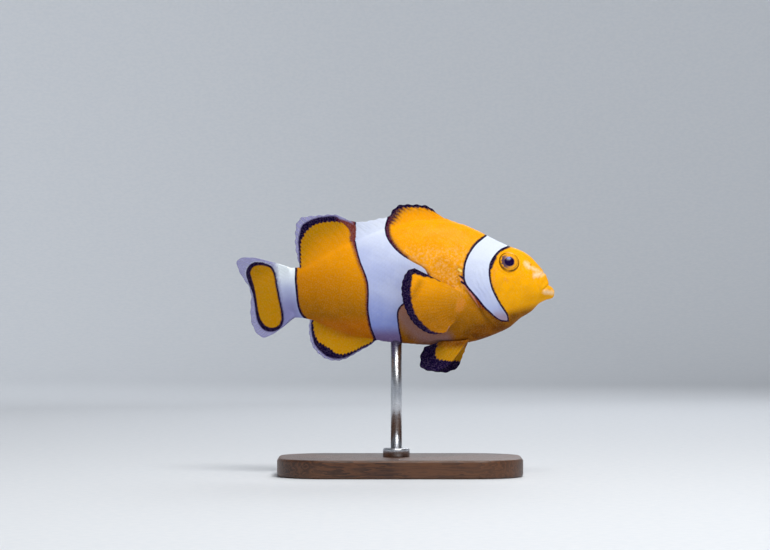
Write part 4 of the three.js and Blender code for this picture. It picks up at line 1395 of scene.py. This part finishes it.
# %% Patches and small marks
# Ends of the small marks behind the head bar, in side view.
MEMBRANE = ((16.3, 2.8), (19.0, -0.9), (21.2, -4.6))
MEMBRANE_SHADE = ((19.6, -0.9), (22.2, -4.4))
YELLOW_SPOT = ((15.7, 5.6), (16.4, 5.1))
UPPER_STROKE = ((15.7, 3.9), (17.6, 2.8))
LOWER_STROKE = ((16.4, 2.2), (17.9, 1.4))


def patches_over(nodes, colour, at, x, z, fin, mask):
    """Patches of painted shade, the breast fin's painted shadow, pale patches, and the pale flecks of
    the flank.
    """
    shade = nodes.times(mask(nodes.value("shade_mm"), 1.0, 1.4), 0.85)
    colour = nodes.blend(colour, SHADE_BROWN, shade)
    # The breast fin's painted shadow on the belly.
    fin_shadow = nodes.times(mask(nodes.value("fin_shadow_mm"), 0.5, 1.3), 0.75)
    colour = nodes.blend(colour, FIN_SHADOW_MAUVE, fin_shadow)
    pale = nodes.times(mask(nodes.value("pale_mm"), 0.9, 0.5), nodes.ramp(x, 24.0, 32.0, 0.4, 0.9))
    colour = nodes.blend(colour, nodes.blend(FLUSH, PALE_FLESH, nodes.ramp(x, 30.0, 32.0)), pale)
    # Pale flecks on the flank: partly lighter scale centres, partly painted highlights of the scales.
    flank = nodes.times(nodes.ramp(x, -4.0, 4.0), nodes.ramp(x, 22.0, 16.0),
                        nodes.ramp(z, 14.0, 9.0), nodes.ramp(z, -4.0, 2.0), nodes.inverse(fin))
    flecks = nodes.ramp(nodes.noise(at, 1.5, 3.0), 0.4, 0.7, 0.0, 0.26)
    return nodes.blend(colour, PALE_FLESH, nodes.times(flecks, flank))


def gill_marks(nodes, colour, x, z, mask):
    """Behind the head bar: painted shade in the gill slit, the gill membrane, a yellow spot and two
    dark strokes.
    """
    # Painted shade in the slit behind the gill membrane.
    red = nodes.minus(0.7, nodes.away(x, z, *MEMBRANE_SHADE))
    colour = nodes.blend(colour, GILL_SHADE_RED, nodes.times(mask(red, 0.4, 0.5), 0.6))
    upper, middle, lower = MEMBRANE
    membrane = nodes.smaller(nodes.away(x, z, upper, middle), nodes.away(x, z, middle, lower))
    width = nodes.ramp(z, -5.0, -1.0, 0.02, 0.24)
    pink = mask(nodes.minus(width, membrane), 0.3, 0.16)
    colour = nodes.blend(colour, GILL_PINK, nodes.times(pink, 0.85))
    spot = nodes.away(x, z, *YELLOW_SPOT)
    around = mask(nodes.minus(0.75, spot), 0.5, 0.5)
    colour = nodes.blend(colour, OCHRE, nodes.times(around, 0.45))
    colour = nodes.blend(colour, SPOT_YELLOW, mask(nodes.minus(0.26, spot), 0.35, 0.16))
    strokes = nodes.smaller(nodes.away(x, z, *UPPER_STROKE), nodes.away(x, z, *LOWER_STROKE))
    width = nodes.ramp(x, 15.4, 16.7, 0.02, 0.32)
    return nodes.blend(colour, BLACK, mask(nodes.minus(width, strokes), 0.2, 0.12))


def nostril_shade(nodes, colour, x, z, mask):
    """A little painted shade, brown, in the pit of the nostril."""
    from_pit = nodes.away(x, z, NOSTRIL, (NOSTRIL[0] - 0.1, NOSTRIL[1]))
    pit = mask(nodes.minus(0.2, from_pit), 0.1, 0.15)
    return nodes.blend(colour, BROWN, nodes.times(pit, 0.35))


# %% White bars and black edges
# A stretch of the middle bar's front edge where the black is thin.
FAINT_EDGE = ((3.2, 7.7), (6.8, 5.5))


def lilac_shade_of(nodes, at, x, z):
    """How far painted shade turns the white bars lilac: more at the rear and below, and a little in
    soft clouds.
    """
    slanted = nodes.plus(z, nodes.times(x, 0.35))
    body = nodes.plus(nodes.ramp(slanted, 18.0, 2.0, 0.0, 0.5),
                      nodes.ramp(slanted, 0.0, -13.0, 0.0, 0.5))
    tail = nodes.ramp(z, 6.0, -6.0, 0.0, 0.75)
    on_tail = nodes.ramp(x, -22.0, -26.0)
    both = nodes.plus(nodes.times(tail, on_tail), nodes.times(body, nodes.inverse(on_tail)))
    return nodes.plus(both, mottled(nodes, at, 4.0, -0.04, 0.05), clamp=True)


def white_of(nodes, at, x, z):
    """White with painted shade, lilac towards the rear and below and darker at the feet of the bars,
    and painted light that makes the tail's top purer white.
    """
    white = nodes.blend(WHITE, SHADE_LILAC_WHITE, lilac_shade_of(nodes, at, x, z))
    # Painted shade: rose grey at the foot of the head bar, mauve low on the bars.
    head_foot_shade = nodes.times(nodes.ramp(x, 24.0, 26.0), nodes.ramp(z, -4.5, -7.5), 0.75)
    white = nodes.blend(white, SHADE_ROSE_GREY, head_foot_shade)
    white = nodes.blend(white, SHADE_MAUVE, nodes.ramp(z, -9.0, -12.8, 0.0, 0.9))
    on_tail = nodes.ramp(x, -25.0, -29.0)
    # Painted light on the tail's top, and painted shade, mauve, on its lower part.
    lit_tail_top = nodes.times(on_tail, nodes.ramp(z, 0.0, 6.0))
    white = nodes.blend(white, LIT_WHITE, lit_tail_top)
    tail_low_shade = nodes.times(on_tail, nodes.ramp(z, 3.0, -6.0, 0.0, 0.5))
    return nodes.blend(white, SHADE_MAUVE, tail_low_shade)


def bars_over(nodes, colour, at, x, z, mask):
    """The black edges, brown and soft on either side of the middle bar, and the white bars."""
    white_mm = nodes.value("white_mm")
    behind_bar = nodes.times(nodes.ramp(x, -6.0, -9.0), nodes.ramp(x, -18.0, -14.5))
    rear_brown = nodes.times(behind_bar, nodes.ramp(z, -14.0, 10.0, 0.2, 0.95))
    front_brown = nodes.times(nodes.ramp(x, -2.0, 2.0, 0.35, 0.7), nodes.ramp(x, -7.0, -5.0),
                              nodes.ramp(z, 2.0, 5.0), nodes.ramp(x, 10.0, 8.0))
    brownish = nodes.larger(rear_brown, front_brown)
    soft = nodes.plus(nodes.times(brownish, 0.4), 0.2)
    faint = nodes.ramp(nodes.away(x, z, *FAINT_EDGE), 0.7, 2.0, 0.35, 1.0)
    edge = nodes.times(mask(nodes.plus(white_mm, nodes.value("edge_mm")), 0.4, soft), faint)
    core = nodes.times(mask(nodes.plus(white_mm, 0.4), 0.3, 0.2), faint)
    colour = nodes.blend(colour, nodes.blend(BLACK, BROWN, brownish), edge)
    colour = nodes.blend(colour, BLACK, core)
    colour = nodes.blend(colour, white_of(nodes, at, x, z), mask(white_mm, 0.12, 0.07))
    ink_brown = nodes.times(behind_bar, nodes.ramp(z, 0.0, 10.0, 0.0, 0.95))
    band = nodes.blend(BLACK, BROWN, ink_brown)
    return nodes.blend(colour, band, mask(nodes.value("ink_mm"), 0.3, 0.16))


# %% The skin's material
def skin_material():
    """Orange, white and black of the fish, under a wet coat."""
    material, nodes, shader = new_material("fish skin")
    at = nodes.place()
    x, z = nodes.side_view(at)
    ray, fin = nodes.value("ray"), nodes.value("fin")
    mask = masks_at(nodes, at)
    colour = orange_of(nodes, at, x, z, fin)
    colour = patches_over(nodes, colour, at, x, z, fin, mask)
    web = nodes.times(nodes.inverse(ray), fin, 0.2)
    colour = nodes.blend(colour, DEEP_ORANGE, web)
    colour = gill_marks(nodes, colour, x, z, mask)
    colour = nostril_shade(nodes, colour, x, z, mask)
    colour = nodes.blend(colour, SMOKE, nodes.value("smoke"))
    colour = bars_over(nodes, colour, at, x, z, mask)
    rim = mask(nodes.value("rim_mm"), 0.3, 0.25)
    colour = nodes.blend(colour, CLEAR_RIM, rim)
    grained = nodes.add("ShaderNodeBrightContrast", None, Color=colour, Bright=0.0)
    nodes.feed(grained.inputs["Contrast"], mottled(nodes, at, 0.35, -0.05, 0.05))
    nodes.feed(shader.inputs["Base Color"], grained.outputs[0])
    nodes.feed(shader.inputs["Roughness"], mottled(nodes, at, 0.5, 0.38, 0.55))
    shader.inputs["Specular IOR Level"].default_value = 0.02
    shader.inputs["Coat Weight"].default_value = 0.04
    shader.inputs["Coat Roughness"].default_value = 0.22
    clear = nodes.minus(0.6, nodes.times(ray, 0.25))
    nodes.feed(shader.inputs["Alpha"], nodes.inverse(nodes.times(rim, clear)))
    raise_by(nodes, shader, nodes.noise(at, 5.0, 4.0), strength=0.25, depth=0.05)
    return material


SKIN = skin_material()
skin.data.materials.clear()
skin.data.materials.append(SKIN)
FLESH_NODES = [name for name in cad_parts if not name.startswith(("eye", "stand"))]
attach(skin, "root")
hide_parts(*FLESH_NODES)
print("the skin stands for", len(FLESH_NODES), "solids")

# %% [markdown]
# ## Scales
#
# Scales grow in slanting rows, each lying over the roots of the next ones behind, like tiles. On
# the body they are about a millimetre and a half across, and they lie flatter on the cheek and
# nape. One scale is a rounded plate, and copies of it are laid on the skin's own grid with numpy:
# that follows every curve, where an array modifier would leave gaps. Each flank's scales are one
# joined mesh.

# %% One scale and its places
SCALE_ROWS = 56
SCALE_GAP = 2.35
COAT_FRONT = 33.0
COAT_REAR = -29.0
FACE_LIFT = 0.55
FACE_END = 25.0
FACE_FADE = 9.0
BARE_ROUND_EYE = 4.0
BARE_AT_PECTORAL = 0.9
BARE_AT_PELVIC = 4.4
NAPE_LINE = [[27.5, 16.0], [26.5, 11.0], [25.2, 8.5], [26.5, 4.6], [30.0, 3.3], [32.6, 0.5],
             [32.4, -3.5], [30.2, -6.6], [27.5, -12.0]]


def scale_plate(across=6, along=4):
    """A plate's points (along, across, height) in shares of its size, and its faces."""
    t = np.sin(np.linspace(-math.pi / 2, math.pi / 2, across + 1))[None, :]
    s = np.linspace(0, 1, along + 1)[:, None] * (0.45 + 0.55 * np.sqrt(1 - t**2))
    t = t * (0.86 + 0.14 * np.linspace(0, 1, along + 1)[:, None])
    top = np.stack([s, t, np.ones(s.shape)], -1)
    bottom = np.stack([s, t, np.zeros(s.shape)], -1)
    rim = [(0, j) for j in range(across + 1)] + [(i, across) for i in range(1, along + 1)]
    rim += [(along, j) for j in range(across - 1, -1, -1)] + [(i, 0) for i in range(along - 1, 0, -1)]
    count = (along + 1) * (across + 1)
    points = np.concatenate([top.reshape(-1, 3), [bottom[i, j] for i, j in rim]])
    number = lambda i, j: i * (across + 1) + j
    faces = [[number(i, j), number(i, j + 1), number(i + 1, j + 1), number(i + 1, j)]
             for i in range(along) for j in range(across)]
    for k, (i, j) in enumerate(rim):
        after = (k + 1) % len(rim)
        faces.append([number(i, j), count + k, count + after, number(*rim[after])])
    middle = len(points)
    points = np.concatenate([points, [[0.5, 0.0, 0.0]]])
    ends = [[count + (k + 1) % len(rim), count + k, middle] for k in range(len(rim))]
    return points, np.array(faces), np.array(ends)


def on_body(values, ring_at, around):
    """Values of the body's grid between its points."""
    r = np.clip(ring_at, 0, len(ring_x) - 1.001)
    c = (around % 1.0) * RING_POINTS
    r0, c0 = r.astype(int), c.astype(int)
    fr, fc = r - r0, c - c0
    c0, c1 = c0 % RING_POINTS, (c0 + 1) % RING_POINTS
    if values.ndim == 3:
        fr, fc = fr[..., None], fc[..., None]
    near = values[r0, c0] * (1 - fc) + values[r0, c1] * fc
    far = values[r0 + 1, c0] * (1 - fc) + values[r0 + 1, c1] * fc
    return near * (1 - fr) + far * fr


def ring_number(x):
    """The ring, counted with fractions, at a place along the fish."""
    return np.interp(-x, -ring_x, np.arange(len(ring_x)))


def scale_roots():
    """Place and row of every scale of the right flank, with its length, width and lift."""
    places, rows, sizes = [], [], []
    for row in range(SCALE_ROWS):
        around = 0.5 * (row + 0.5) / SCALE_ROWS
        x = COAT_FRONT
        count = 0
        while x > COAT_REAR:
            girth = float(np.interp(-x, -ring_x, girths))
            lifted = FACE_LIFT + (1 - FACE_LIFT) * float(fade(FACE_END - x, 0.0, FACE_FADE))
            gap = SCALE_GAP * girth / (2 * SCALE_ROWS)
            if count == 0:
                x -= gap * 0.5 * (row % 2)
            places.append(x)
            rows.append(around)
            sizes.append((gap, girth / (2 * SCALE_ROWS), lifted))
            x -= gap
            count += 1
    return np.array(places), np.array(rows), np.array(sizes)


def scale_grows(x, around):
    """Where the skin bears scales: not on the snout, at the eye, in the gill slit or on fin roots."""
    ring_at = ring_number(x)
    point = on_body(straight, ring_at, around)
    y, z = np.abs(point[:, 1]), point[:, 2]
    behind_face = measure(x, z, outline(NAPE_LINE, 60))[0] < -0.3
    seat, _ = eye_seat()
    from_eye = np.hypot(x - seat[0], z - seat[2])
    slit = measure(x, z, outline(GILL_LINE, 60))[0]
    root = np.abs(measure(x, z, outline(PECTORAL_ROOT, 20))[0])
    on_edge = (y < 1.2) & (((z > 0) & (x < 18.0)) | ((z < 0) & (x < -5.0)))
    pelvic = (z < -12.8) & (np.abs(x - 15.0) < BARE_AT_PELVIC)
    return (behind_face & (from_eye > BARE_ROUND_EYE) & ((slit > 0.3) | (slit < -0.9))
            & (root > BARE_AT_PECTORAL) & ~on_edge & ~pelvic & (x > -28.6))


# %% The coat of scales
LIFT_ROOT = -0.06
LIFT_TIP = 0.05
PLATE = 0.03
CRISP = math.radians(50)
SCALE_CHART = 0.003
SCALE_SEED = 7
LENGTH_LAP = 1.2
SIDE_LAP = 1.16


def scale_coat(name, left):
    """All scales of one flank as one mesh."""
    points, quads, ends = scale_plate()
    x, around, sizes = scale_roots()
    if left:
        around = 1 - around
    keep = scale_grows(x, around)
    x, around, sizes = x[keep], around[keep], sizes[keep]
    rng = np.random.default_rng(SCALE_SEED + left)
    wobble = rng.normal(0, 1, (len(x), 3))
    s, t, h = points.T
    gap, height, lifted = sizes.T[:, :, None]
    plate_x = x[:, None] + 0.5 * gap - s * gap * (LENGTH_LAP + 0.04 * wobble[:, :1])
    girth = np.interp(-x, -ring_x, girths)[:, None]
    tilt = 0.05 * wobble[:, 1:2] * (s - 0.5)
    plate_around = around[:, None] + (t * SIDE_LAP + tilt) * height / girth
    ring_at = ring_number(plate_x)
    base = on_body(body_grid, ring_at, plate_around)
    normal = on_body(body_normals, ring_at, plate_around)
    lift = LIFT_ROOT + (LIFT_TIP - LIFT_ROOT) * s * (1 + 0.08 * wobble[:, 2:3]) - 0.02 * t**2
    lift = lift * lifted + PLATE * (h - 1) * (0.4 + 0.6 * s)
    shell = base + normal * lift[..., None]
    offset = (np.arange(len(x)) * len(points))[:, None, None]
    faces = (quads[None] + offset).reshape(-1, 4).tolist()
    faces += (ends[None] + offset).reshape(-1, 3).tolist()
    if left:
        faces = [face[::-1] for face in faces]
    piece = make_piece(name, shell, faces)
    marks = {key: on_body(values, ring_at, plate_around) for key, values in body_marks.items()}
    paint(piece.data, marks)
    piece.data.set_sharp_from_angle(angle=CRISP)
    home = body_place(ring_number(x), around)
    spread = np.stack([s - 0.5, t / 2], -1) * SCALE_CHART
    place = (home[:, None] + spread[None]).reshape(-1, 2)
    corner_of = [number for face in faces for number in face]
    unwrap(piece.data, place[corner_of])
    piece.data.materials.append(SKIN)
    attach(piece, "root")
    triangles = len(x) * (2 * len(quads) + len(ends))
    print(name, "scales:", len(x), "triangles:", triangles)
    return piece


scales = [scale_coat("scales_right", False), scale_coat("scales_left", True)]

# %% [markdown]
# ## Eyes
#
# A fish eye is a flattened ball with a golden iris around a dark blue pupil that never closes. It
# stands a little proud of the skin, inside the rim of the orbit. The ball is a grid of rings
# around the axis it looks along, and it stores each point's place across that axis, from which the
# material draws pupil, iris, shading and a painted highlight in the pupil. A clear coat makes it wet.

# %% The eyeballs
EYE_RINGS = 44
EYE_SPOKES = 72
EYE_PLAY = 0.02
LENS_SETBACK = 0.1
LENS_BULGE = 0.12
LENS_REACH = 1.5


def eye_ball(side):
    """One eyeball. side is -1 for the right and 1 for the left."""
    seat, out = eye_seat()
    centre = seat - out * EYE["sunk"]
    up = np.array([0, 0, 1.0]) - out * out[2]
    up = up / np.linalg.norm(up)
    ahead = np.cross(up, out)
    ahead = ahead * np.sign(ahead[0])
    tilt = np.linspace(0, math.pi, EYE_RINGS + 1)[1:-1, None]
    spoke = np.linspace(0, 2 * math.pi, EYE_SPOKES, endpoint=False)[None, :]
    radius = (EYE["radius"] - EYE_PLAY) * np.sin(tilt)
    bulge = LENS_BULGE * np.exp(-((radius / LENS_REACH) ** 2)) * (tilt < math.pi / 2)
    deep = (EYE["depth"] - LENS_SETBACK) * np.cos(tilt) + bulge + 0 * spoke
    across = radius * np.cos(spoke)
    rise = radius * np.sin(spoke)
    grid = centre + across[..., None] * ahead + rise[..., None] * up + deep[..., None] * out
    front_pole = centre + out * (EYE["depth"] - LENS_SETBACK + LENS_BULGE)
    rear_pole = centre - out * (EYE["depth"] - LENS_SETBACK)
    points = np.concatenate([grid.reshape(-1, 3), [front_pole, rear_pole]])
    sides, ends = closed_faces(EYE_RINGS - 1, EYE_SPOKES)
    faces = sides + ends
    if side > 0:
        points = points * [1, -1, 1]
    else:
        faces = [face[::-1] for face in faces]
    word = "right" if side < 0 else "left"
    piece = make_piece("eyeball_" + word, points + [0, 0, AXIS_HEIGHT], faces)
    paint(piece.data, {
        "ahead_mm": np.concatenate([across.ravel(), [0, 0]]),
        "rise_mm": np.concatenate([rise.ravel(), [0, 0]]),
    })
    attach(piece, "root")
    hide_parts("eye_right" if side < 0 else "eye_left")
    return piece


eyeballs = [eye_ball(-1), eye_ball(1)]
print("eyeballs:", [piece.name for piece in eyeballs])

# %% Eye material
PUPIL = linear(26, 10, 58)
# Painted highlight in the upper part of the pupil.
PUPIL_GLOW = linear(92, 104, 178)
GOLD = linear(255, 176, 4)
DARK_GOLD = linear(238, 142, 4)
IRIS_SHADE = linear(76, 62, 88)
OLIVE = linear(92, 68, 6)
PUPIL_PLACE = (-0.15, -0.24)
PUPIL_RADIUS = 1.34
# Colour, radius, half width, direction in degrees, spread, strength and raggedness of each ring.
IRIS_RINGS = [
    (IRIS_SHADE, 1.8, 0.46, 186.0, 0.85, 0.95, 0.9),
    (OLIVE, 2.2, 0.07, 5.0, 0.9, 0.7, 0.2),
    (OLIVE, 2.66, 0.16, -26.0, 0.6, 1.0, 0.2),
    (OLIVE, 2.62, 0.17, 174.0, 0.6, 0.95, 0.2),
]


def eye_material():
    """Pupil with a painted blue highlight, golden iris with a dark crescent behind the pupil, and a
    dark rim.
    """
    material, nodes, shader = new_material("wet eye")
    ahead, rise = nodes.value("ahead_mm"), nodes.value("rise_mm")
    at = nodes.place()
    mask = masks_at(nodes, at)

    def from_point(x, z, flat=1.0):
        """Distance from a point of the eye's face, counted `flat` times along the fish."""
        return nodes.hypot(nodes.times(nodes.minus(ahead, x), flat), nodes.minus(rise, z))

    def ring(at_radius, half_width, degrees, spread, strength, ragged):
        """A thin ring that is strongest in one direction, counted from ahead towards above."""
        turn = math.radians(degrees)
        facing = nodes.plus(nodes.times(ahead, math.cos(turn)), nodes.times(rise, math.sin(turn)))
        share = nodes.math("DIVIDE", facing, nodes.larger(radius, 0.1))
        off = nodes.math("ABSOLUTE", nodes.minus(radius, at_radius))
        sector = nodes.ramp(share, 0.0, spread, 0.1, strength)
        return nodes.times(mask(nodes.minus(half_width, off), ragged, 0.14), sector)

    radius = from_point(0.0, 0.0)
    spoke = nodes.add("ShaderNodeCombineXYZ", None, _0=nodes.math("DIVIDE", ahead, radius),
                      _1=nodes.math("DIVIDE", rise, radius), _2=nodes.times(radius, 0.25))
    streaks = mottled(nodes, spoke.outputs[0], 0.16, 0.0, 0.45)
    colour = nodes.blend(GOLD, DARK_GOLD, streaks)
    for shade, *numbers in IRIS_RINGS:
        colour = nodes.blend(colour, shade, ring(*numbers))
    from_pupil = from_point(*PUPIL_PLACE)
    halo = nodes.minus(PUPIL_RADIUS + 0.16, from_pupil)
    colour = nodes.blend(colour, IRIS_SHADE, nodes.times(mask(halo, 0.25, 0.2), 0.6))
    # A painted blue highlight in the upper part of the pupil.
    glow = nodes.ramp(from_point(PUPIL_PLACE[0], 0.8, 0.8), 0.8, 0.1)
    dark = nodes.blend(PUPIL, PUPIL_GLOW, glow)
    colour = nodes.blend(colour, dark, mask(nodes.minus(PUPIL_RADIUS, from_pupil), 0.12, 0.1))
    nodes.feed(shader.inputs["Base Color"], colour)
    nodes.feed(shader.inputs["Roughness"], mottled(nodes, at, 0.6, 0.14, 0.22))
    shader.inputs["Specular IOR Level"].default_value = 0.12
    shader.inputs["Coat Weight"].default_value = 0.12
    shader.inputs["Coat Roughness"].default_value = 0.1
    return material


EYE_FINISH = eye_material()
for piece in eyeballs:
    piece.data.materials.append(EYE_FINISH)

# %% [markdown]
# ## The stand
#
# A shop would cut the base from a walnut board, round its corners and edges, and turn the collar
# and rod from steel. The base is a stack of rounded outlines, each a little in or out from the
# last, which gives a true round-over. Collar and rod are turned: a section goes round an axis.

# %% Shapes of the stand
BASE = {"length": 66.0, "width": 42.0, "thickness": 5.0, "corner": 14.0, "chamfer": 0.8}
ROD = {"x": -1.0, "radius": 1.5}
COLLAR = {"outer": 3.6, "height": 2.4, "chamfer": 0.6}
ROUND_OVER_STEPS = 7
TURN_STEPS = 96
EDGE_LIP = 0.3


def stacked(name, layers, node, material):
    """A closed piece from rings of points laid on one another."""
    rings, columns = np.shape(layers)[:2]
    faces = ring_quads(rings, columns).tolist()
    faces.append(list(range(columns))[::-1])
    faces.append([(rings - 1) * columns + c for c in range(columns)])
    piece = make_piece(name, layers, faces)
    piece.data.materials.append(material)
    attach(piece, "root")
    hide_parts(node)
    return piece


def rounded_board(inset, height):
    """The base's outline, `inset` in from its full size."""
    radius = BASE["corner"] - inset
    x, y = BASE["length"] / 2 - BASE["corner"], BASE["width"] / 2 - BASE["corner"]
    angle = np.linspace(0, 2 * math.pi, TURN_STEPS, endpoint=False) + math.pi / TURN_STEPS
    cos, sin = np.cos(angle), np.sin(angle)
    return np.stack([np.sign(cos) * x + radius * cos, np.sign(sin) * y + radius * sin,
                     np.full(angle.shape, height)], 1)


def base_layers():
    """Outlines from the underside up, with both edges rounded over."""
    r, top = BASE["chamfer"], BASE["thickness"]
    quarter = np.linspace(0, math.pi / 2, ROUND_OVER_STEPS)
    low = [rounded_board(r * (1 - math.sin(a)), r * (1 - math.cos(a))) for a in quarter]
    high = [rounded_board(r * (1 - math.cos(a)), top - r * (1 - math.sin(a))) for a in quarter]
    return low + high + [rounded_board(r + EDGE_LIP, top)]


def turned(section, x=0.0):
    """Rings around an upright axis at `x` through (radius, height) points."""
    angle = np.linspace(0, 2 * math.pi, TURN_STEPS, endpoint=False)
    return [np.stack([x + r * np.cos(angle), r * np.sin(angle), np.full(angle.shape, h)], 1)
            for r, h in section]


# %% Finishes of the stand
DARK_WALNUT = linear(52, 31, 20)
WALNUT = linear(92, 58, 36)
LIGHT_WALNUT = linear(110, 72, 46)
WALNUT_PORE = linear(34, 20, 13)
STEEL = linear(188, 190, 196)
BRIGHT_STEEL = linear(206, 208, 212)
GROWTH_RINGS = 7.0


def walnut_finish():
    """Oiled walnut with its grain along the board."""
    material, nodes, shader = new_material("oiled walnut")
    at = nodes.place()
    bands = nodes.noise(at, 0.5, 4.0, stretch=(0.09, 1.0, 1.0))
    rings = nodes.math("FRACT", nodes.times(bands, GROWTH_RINGS))
    pores = nodes.noise(at, 9.0, 2.0, stretch=(0.06, 1.0, 1.0))
    colour = nodes.blend(WALNUT, DARK_WALNUT, nodes.ramp(rings, 0.0, 0.9))
    colour = nodes.blend(colour, WALNUT_PORE, nodes.ramp(pores, 0.58, 0.7))
    colour = nodes.blend(colour, LIGHT_WALNUT, mottled(nodes, at, 9.0, 0.0, 0.4))
    nodes.feed(shader.inputs["Base Color"], colour)
    nodes.feed(shader.inputs["Roughness"], nodes.ramp(pores, 0.4, 0.7, 0.34, 0.55))
    raise_by(nodes, shader, pores, strength=0.3, depth=0.05)
    return material


def steel_finish():
    """Satin steel with fine turning marks around the rod."""
    material, nodes, shader = new_material("satin steel")
    marks = nodes.noise(nodes.place(), 6.0, 3.0, stretch=(0.15, 0.15, 3.0))
    nodes.feed(shader.inputs["Base Color"], nodes.blend(STEEL, BRIGHT_STEEL, marks))
    shader.inputs["Metallic"].default_value = 1.0
    nodes.feed(shader.inputs["Roughness"], nodes.ramp(marks, 0.3, 0.7, 0.24, 0.36))
    raise_by(nodes, shader, marks, strength=0.1, depth=0.02)
    return material


# %% The stand's pieces
COLLAR_STEPS = 6
COLLAR_PLAY = 0.02
ROD_FOOT = 0.1
ROD_SINK = 0.6


def collar_section():
    """The collar from its foot over its rounded shoulder to the rod."""
    foot = BASE["thickness"]
    lip, shoulder = foot + COLLAR["height"], COLLAR["chamfer"]
    section = [(COLLAR["outer"], foot)]
    for turn in np.linspace(0, math.pi / 2, COLLAR_STEPS):
        section.append((COLLAR["outer"] - shoulder * (1 - math.cos(turn)),
                        lip - shoulder * (1 - math.sin(turn))))
    return section + [(ROD["radius"] + COLLAR_PLAY, lip)]


walnut, steel = walnut_finish(), steel_finish()
belly_height = AXIS_HEIGHT + float(profile(BELLY, ROD["x"]))
rod_section = [(ROD["radius"], height)
               for height in (BASE["thickness"] + ROD_FOOT, belly_height + ROD_SINK)]
stacked("walnut_base", base_layers(), "stand_base", walnut)
stacked("steel_collar", turned(collar_section(), ROD["x"]), "stand_collar", steel)
stacked("steel_rod", turned(rod_section, ROD["x"]), "stand_rod", steel)
print("the rod reaches the belly at", round(belly_height, 1), "mm")

# %% [markdown]
# ## Floor and light
#
# The floor is a wide shallow dish, so that every view ends in a plain pale surface with no
# horizon line. A big soft light above, as from the surface of the water, models the back and
# leaves the belly in shade. A weaker one stands behind the fish, and a ring of lights faces
# outwards and brightens the floor's rim.

# %% The floor
FLOOR_REACH = 900.0
FLOOR_RIM = 900.0
FLOOR_LIGHT = linear(216, 219, 224)
FLOOR_DARK = linear(212, 216, 222)


def dish_floor():
    """A round floor whose rim curves up."""
    section = [(radius, 0.0) for radius in (1.0, 150.0, 450.0, FLOOR_REACH)]
    for turn in np.linspace(0.08, 1.5, 16):
        section.append((FLOOR_REACH + FLOOR_RIM * math.sin(turn), FLOOR_RIM * (1 - math.cos(turn))))
    faces = ring_quads(len(section), TURN_STEPS)[:, ::-1].tolist()
    faces.append(list(range(TURN_STEPS)))
    floor = make_piece("floor", turned(section), faces)
    material, nodes, shader = new_material("pale floor")
    grain = mottled(nodes, nodes.place(), 2.5, 0.0, 1.0)
    nodes.feed(shader.inputs["Base Color"], nodes.blend(FLOOR_DARK, FLOOR_LIGHT, grain))
    shader.inputs["Roughness"].default_value = 0.75
    floor.data.materials.append(material)
    return floor


dish_floor()
print("floor radius in mm:", FLOOR_REACH + FLOOR_RIM)


# %% The lights
FISH_MIDDLE = (0, 0, AXIS_HEIGHT)
WALL_LIGHTS = 4
WALL_LIGHT_OUT = 560
WALL_LIGHT_HEIGHT = 700
WALL_AIM_OUT = 1900
WALL_AIM_HEIGHT = 620


def soft_light(name, place, aim, size, power, colour):
    """A round light at `place` that faces `aim`, all in millimetres."""
    data = bpy.data.lights.new(name, "AREA")
    data.shape = "DISK"
    data.size = size * MM
    data.energy = power
    data.color = colour
    light = bpy.data.objects.new(name, data)
    place, aim = np.array(place, float), np.array(aim, float)
    light.location = place * MM
    direction = aim - place
    flat_length = math.hypot(direction[0], direction[1])
    tilt = math.atan2(flat_length, -direction[2])
    light.rotation_euler = (tilt, 0, math.atan2(direction[1], direction[0]) - math.pi / 2)
    bpy.context.scene.collection.objects.link(light)
    return light


def world_light(strength, colour):
    """Even light from all around."""
    world = bpy.data.worlds.new("studio")
    world.use_nodes = True
    background = world.node_tree.nodes["Background"]
    background.inputs["Color"].default_value = colour
    background.inputs["Strength"].default_value = strength
    bpy.context.scene.world = world


def wall_light(number):
    """One of the lights that stand around the fish and face the floor's rim."""
    turn = 2 * math.pi * (number + 0.25) / WALL_LIGHTS
    cos, sin = math.cos(turn), math.sin(turn)
    place = (WALL_LIGHT_OUT * cos, WALL_LIGHT_OUT * sin, WALL_LIGHT_HEIGHT)
    aim = (WALL_AIM_OUT * cos, WALL_AIM_OUT * sin, WALL_AIM_HEIGHT)
    return soft_light(f"light_wall_{number}", place, aim, 300, 6.0, (0.96, 0.98, 1.0))


lights = [
    soft_light("light_above", (160, -360, 720), FISH_MIDDLE, 460, 6.4, (1.0, 0.99, 0.96)),
    soft_light("light_rear", (120, 560, 420), FISH_MIDDLE, 380, 1.2, (0.95, 0.97, 1.0)),
]
lights += [wall_light(number) for number in range(WALL_LIGHTS)]
world_light(0.16, (0.86, 0.92, 1.0, 1.0))
bpy.context.scene.view_settings.view_transform = "Standard"
print("lights:", ", ".join(light.name for light in lights))
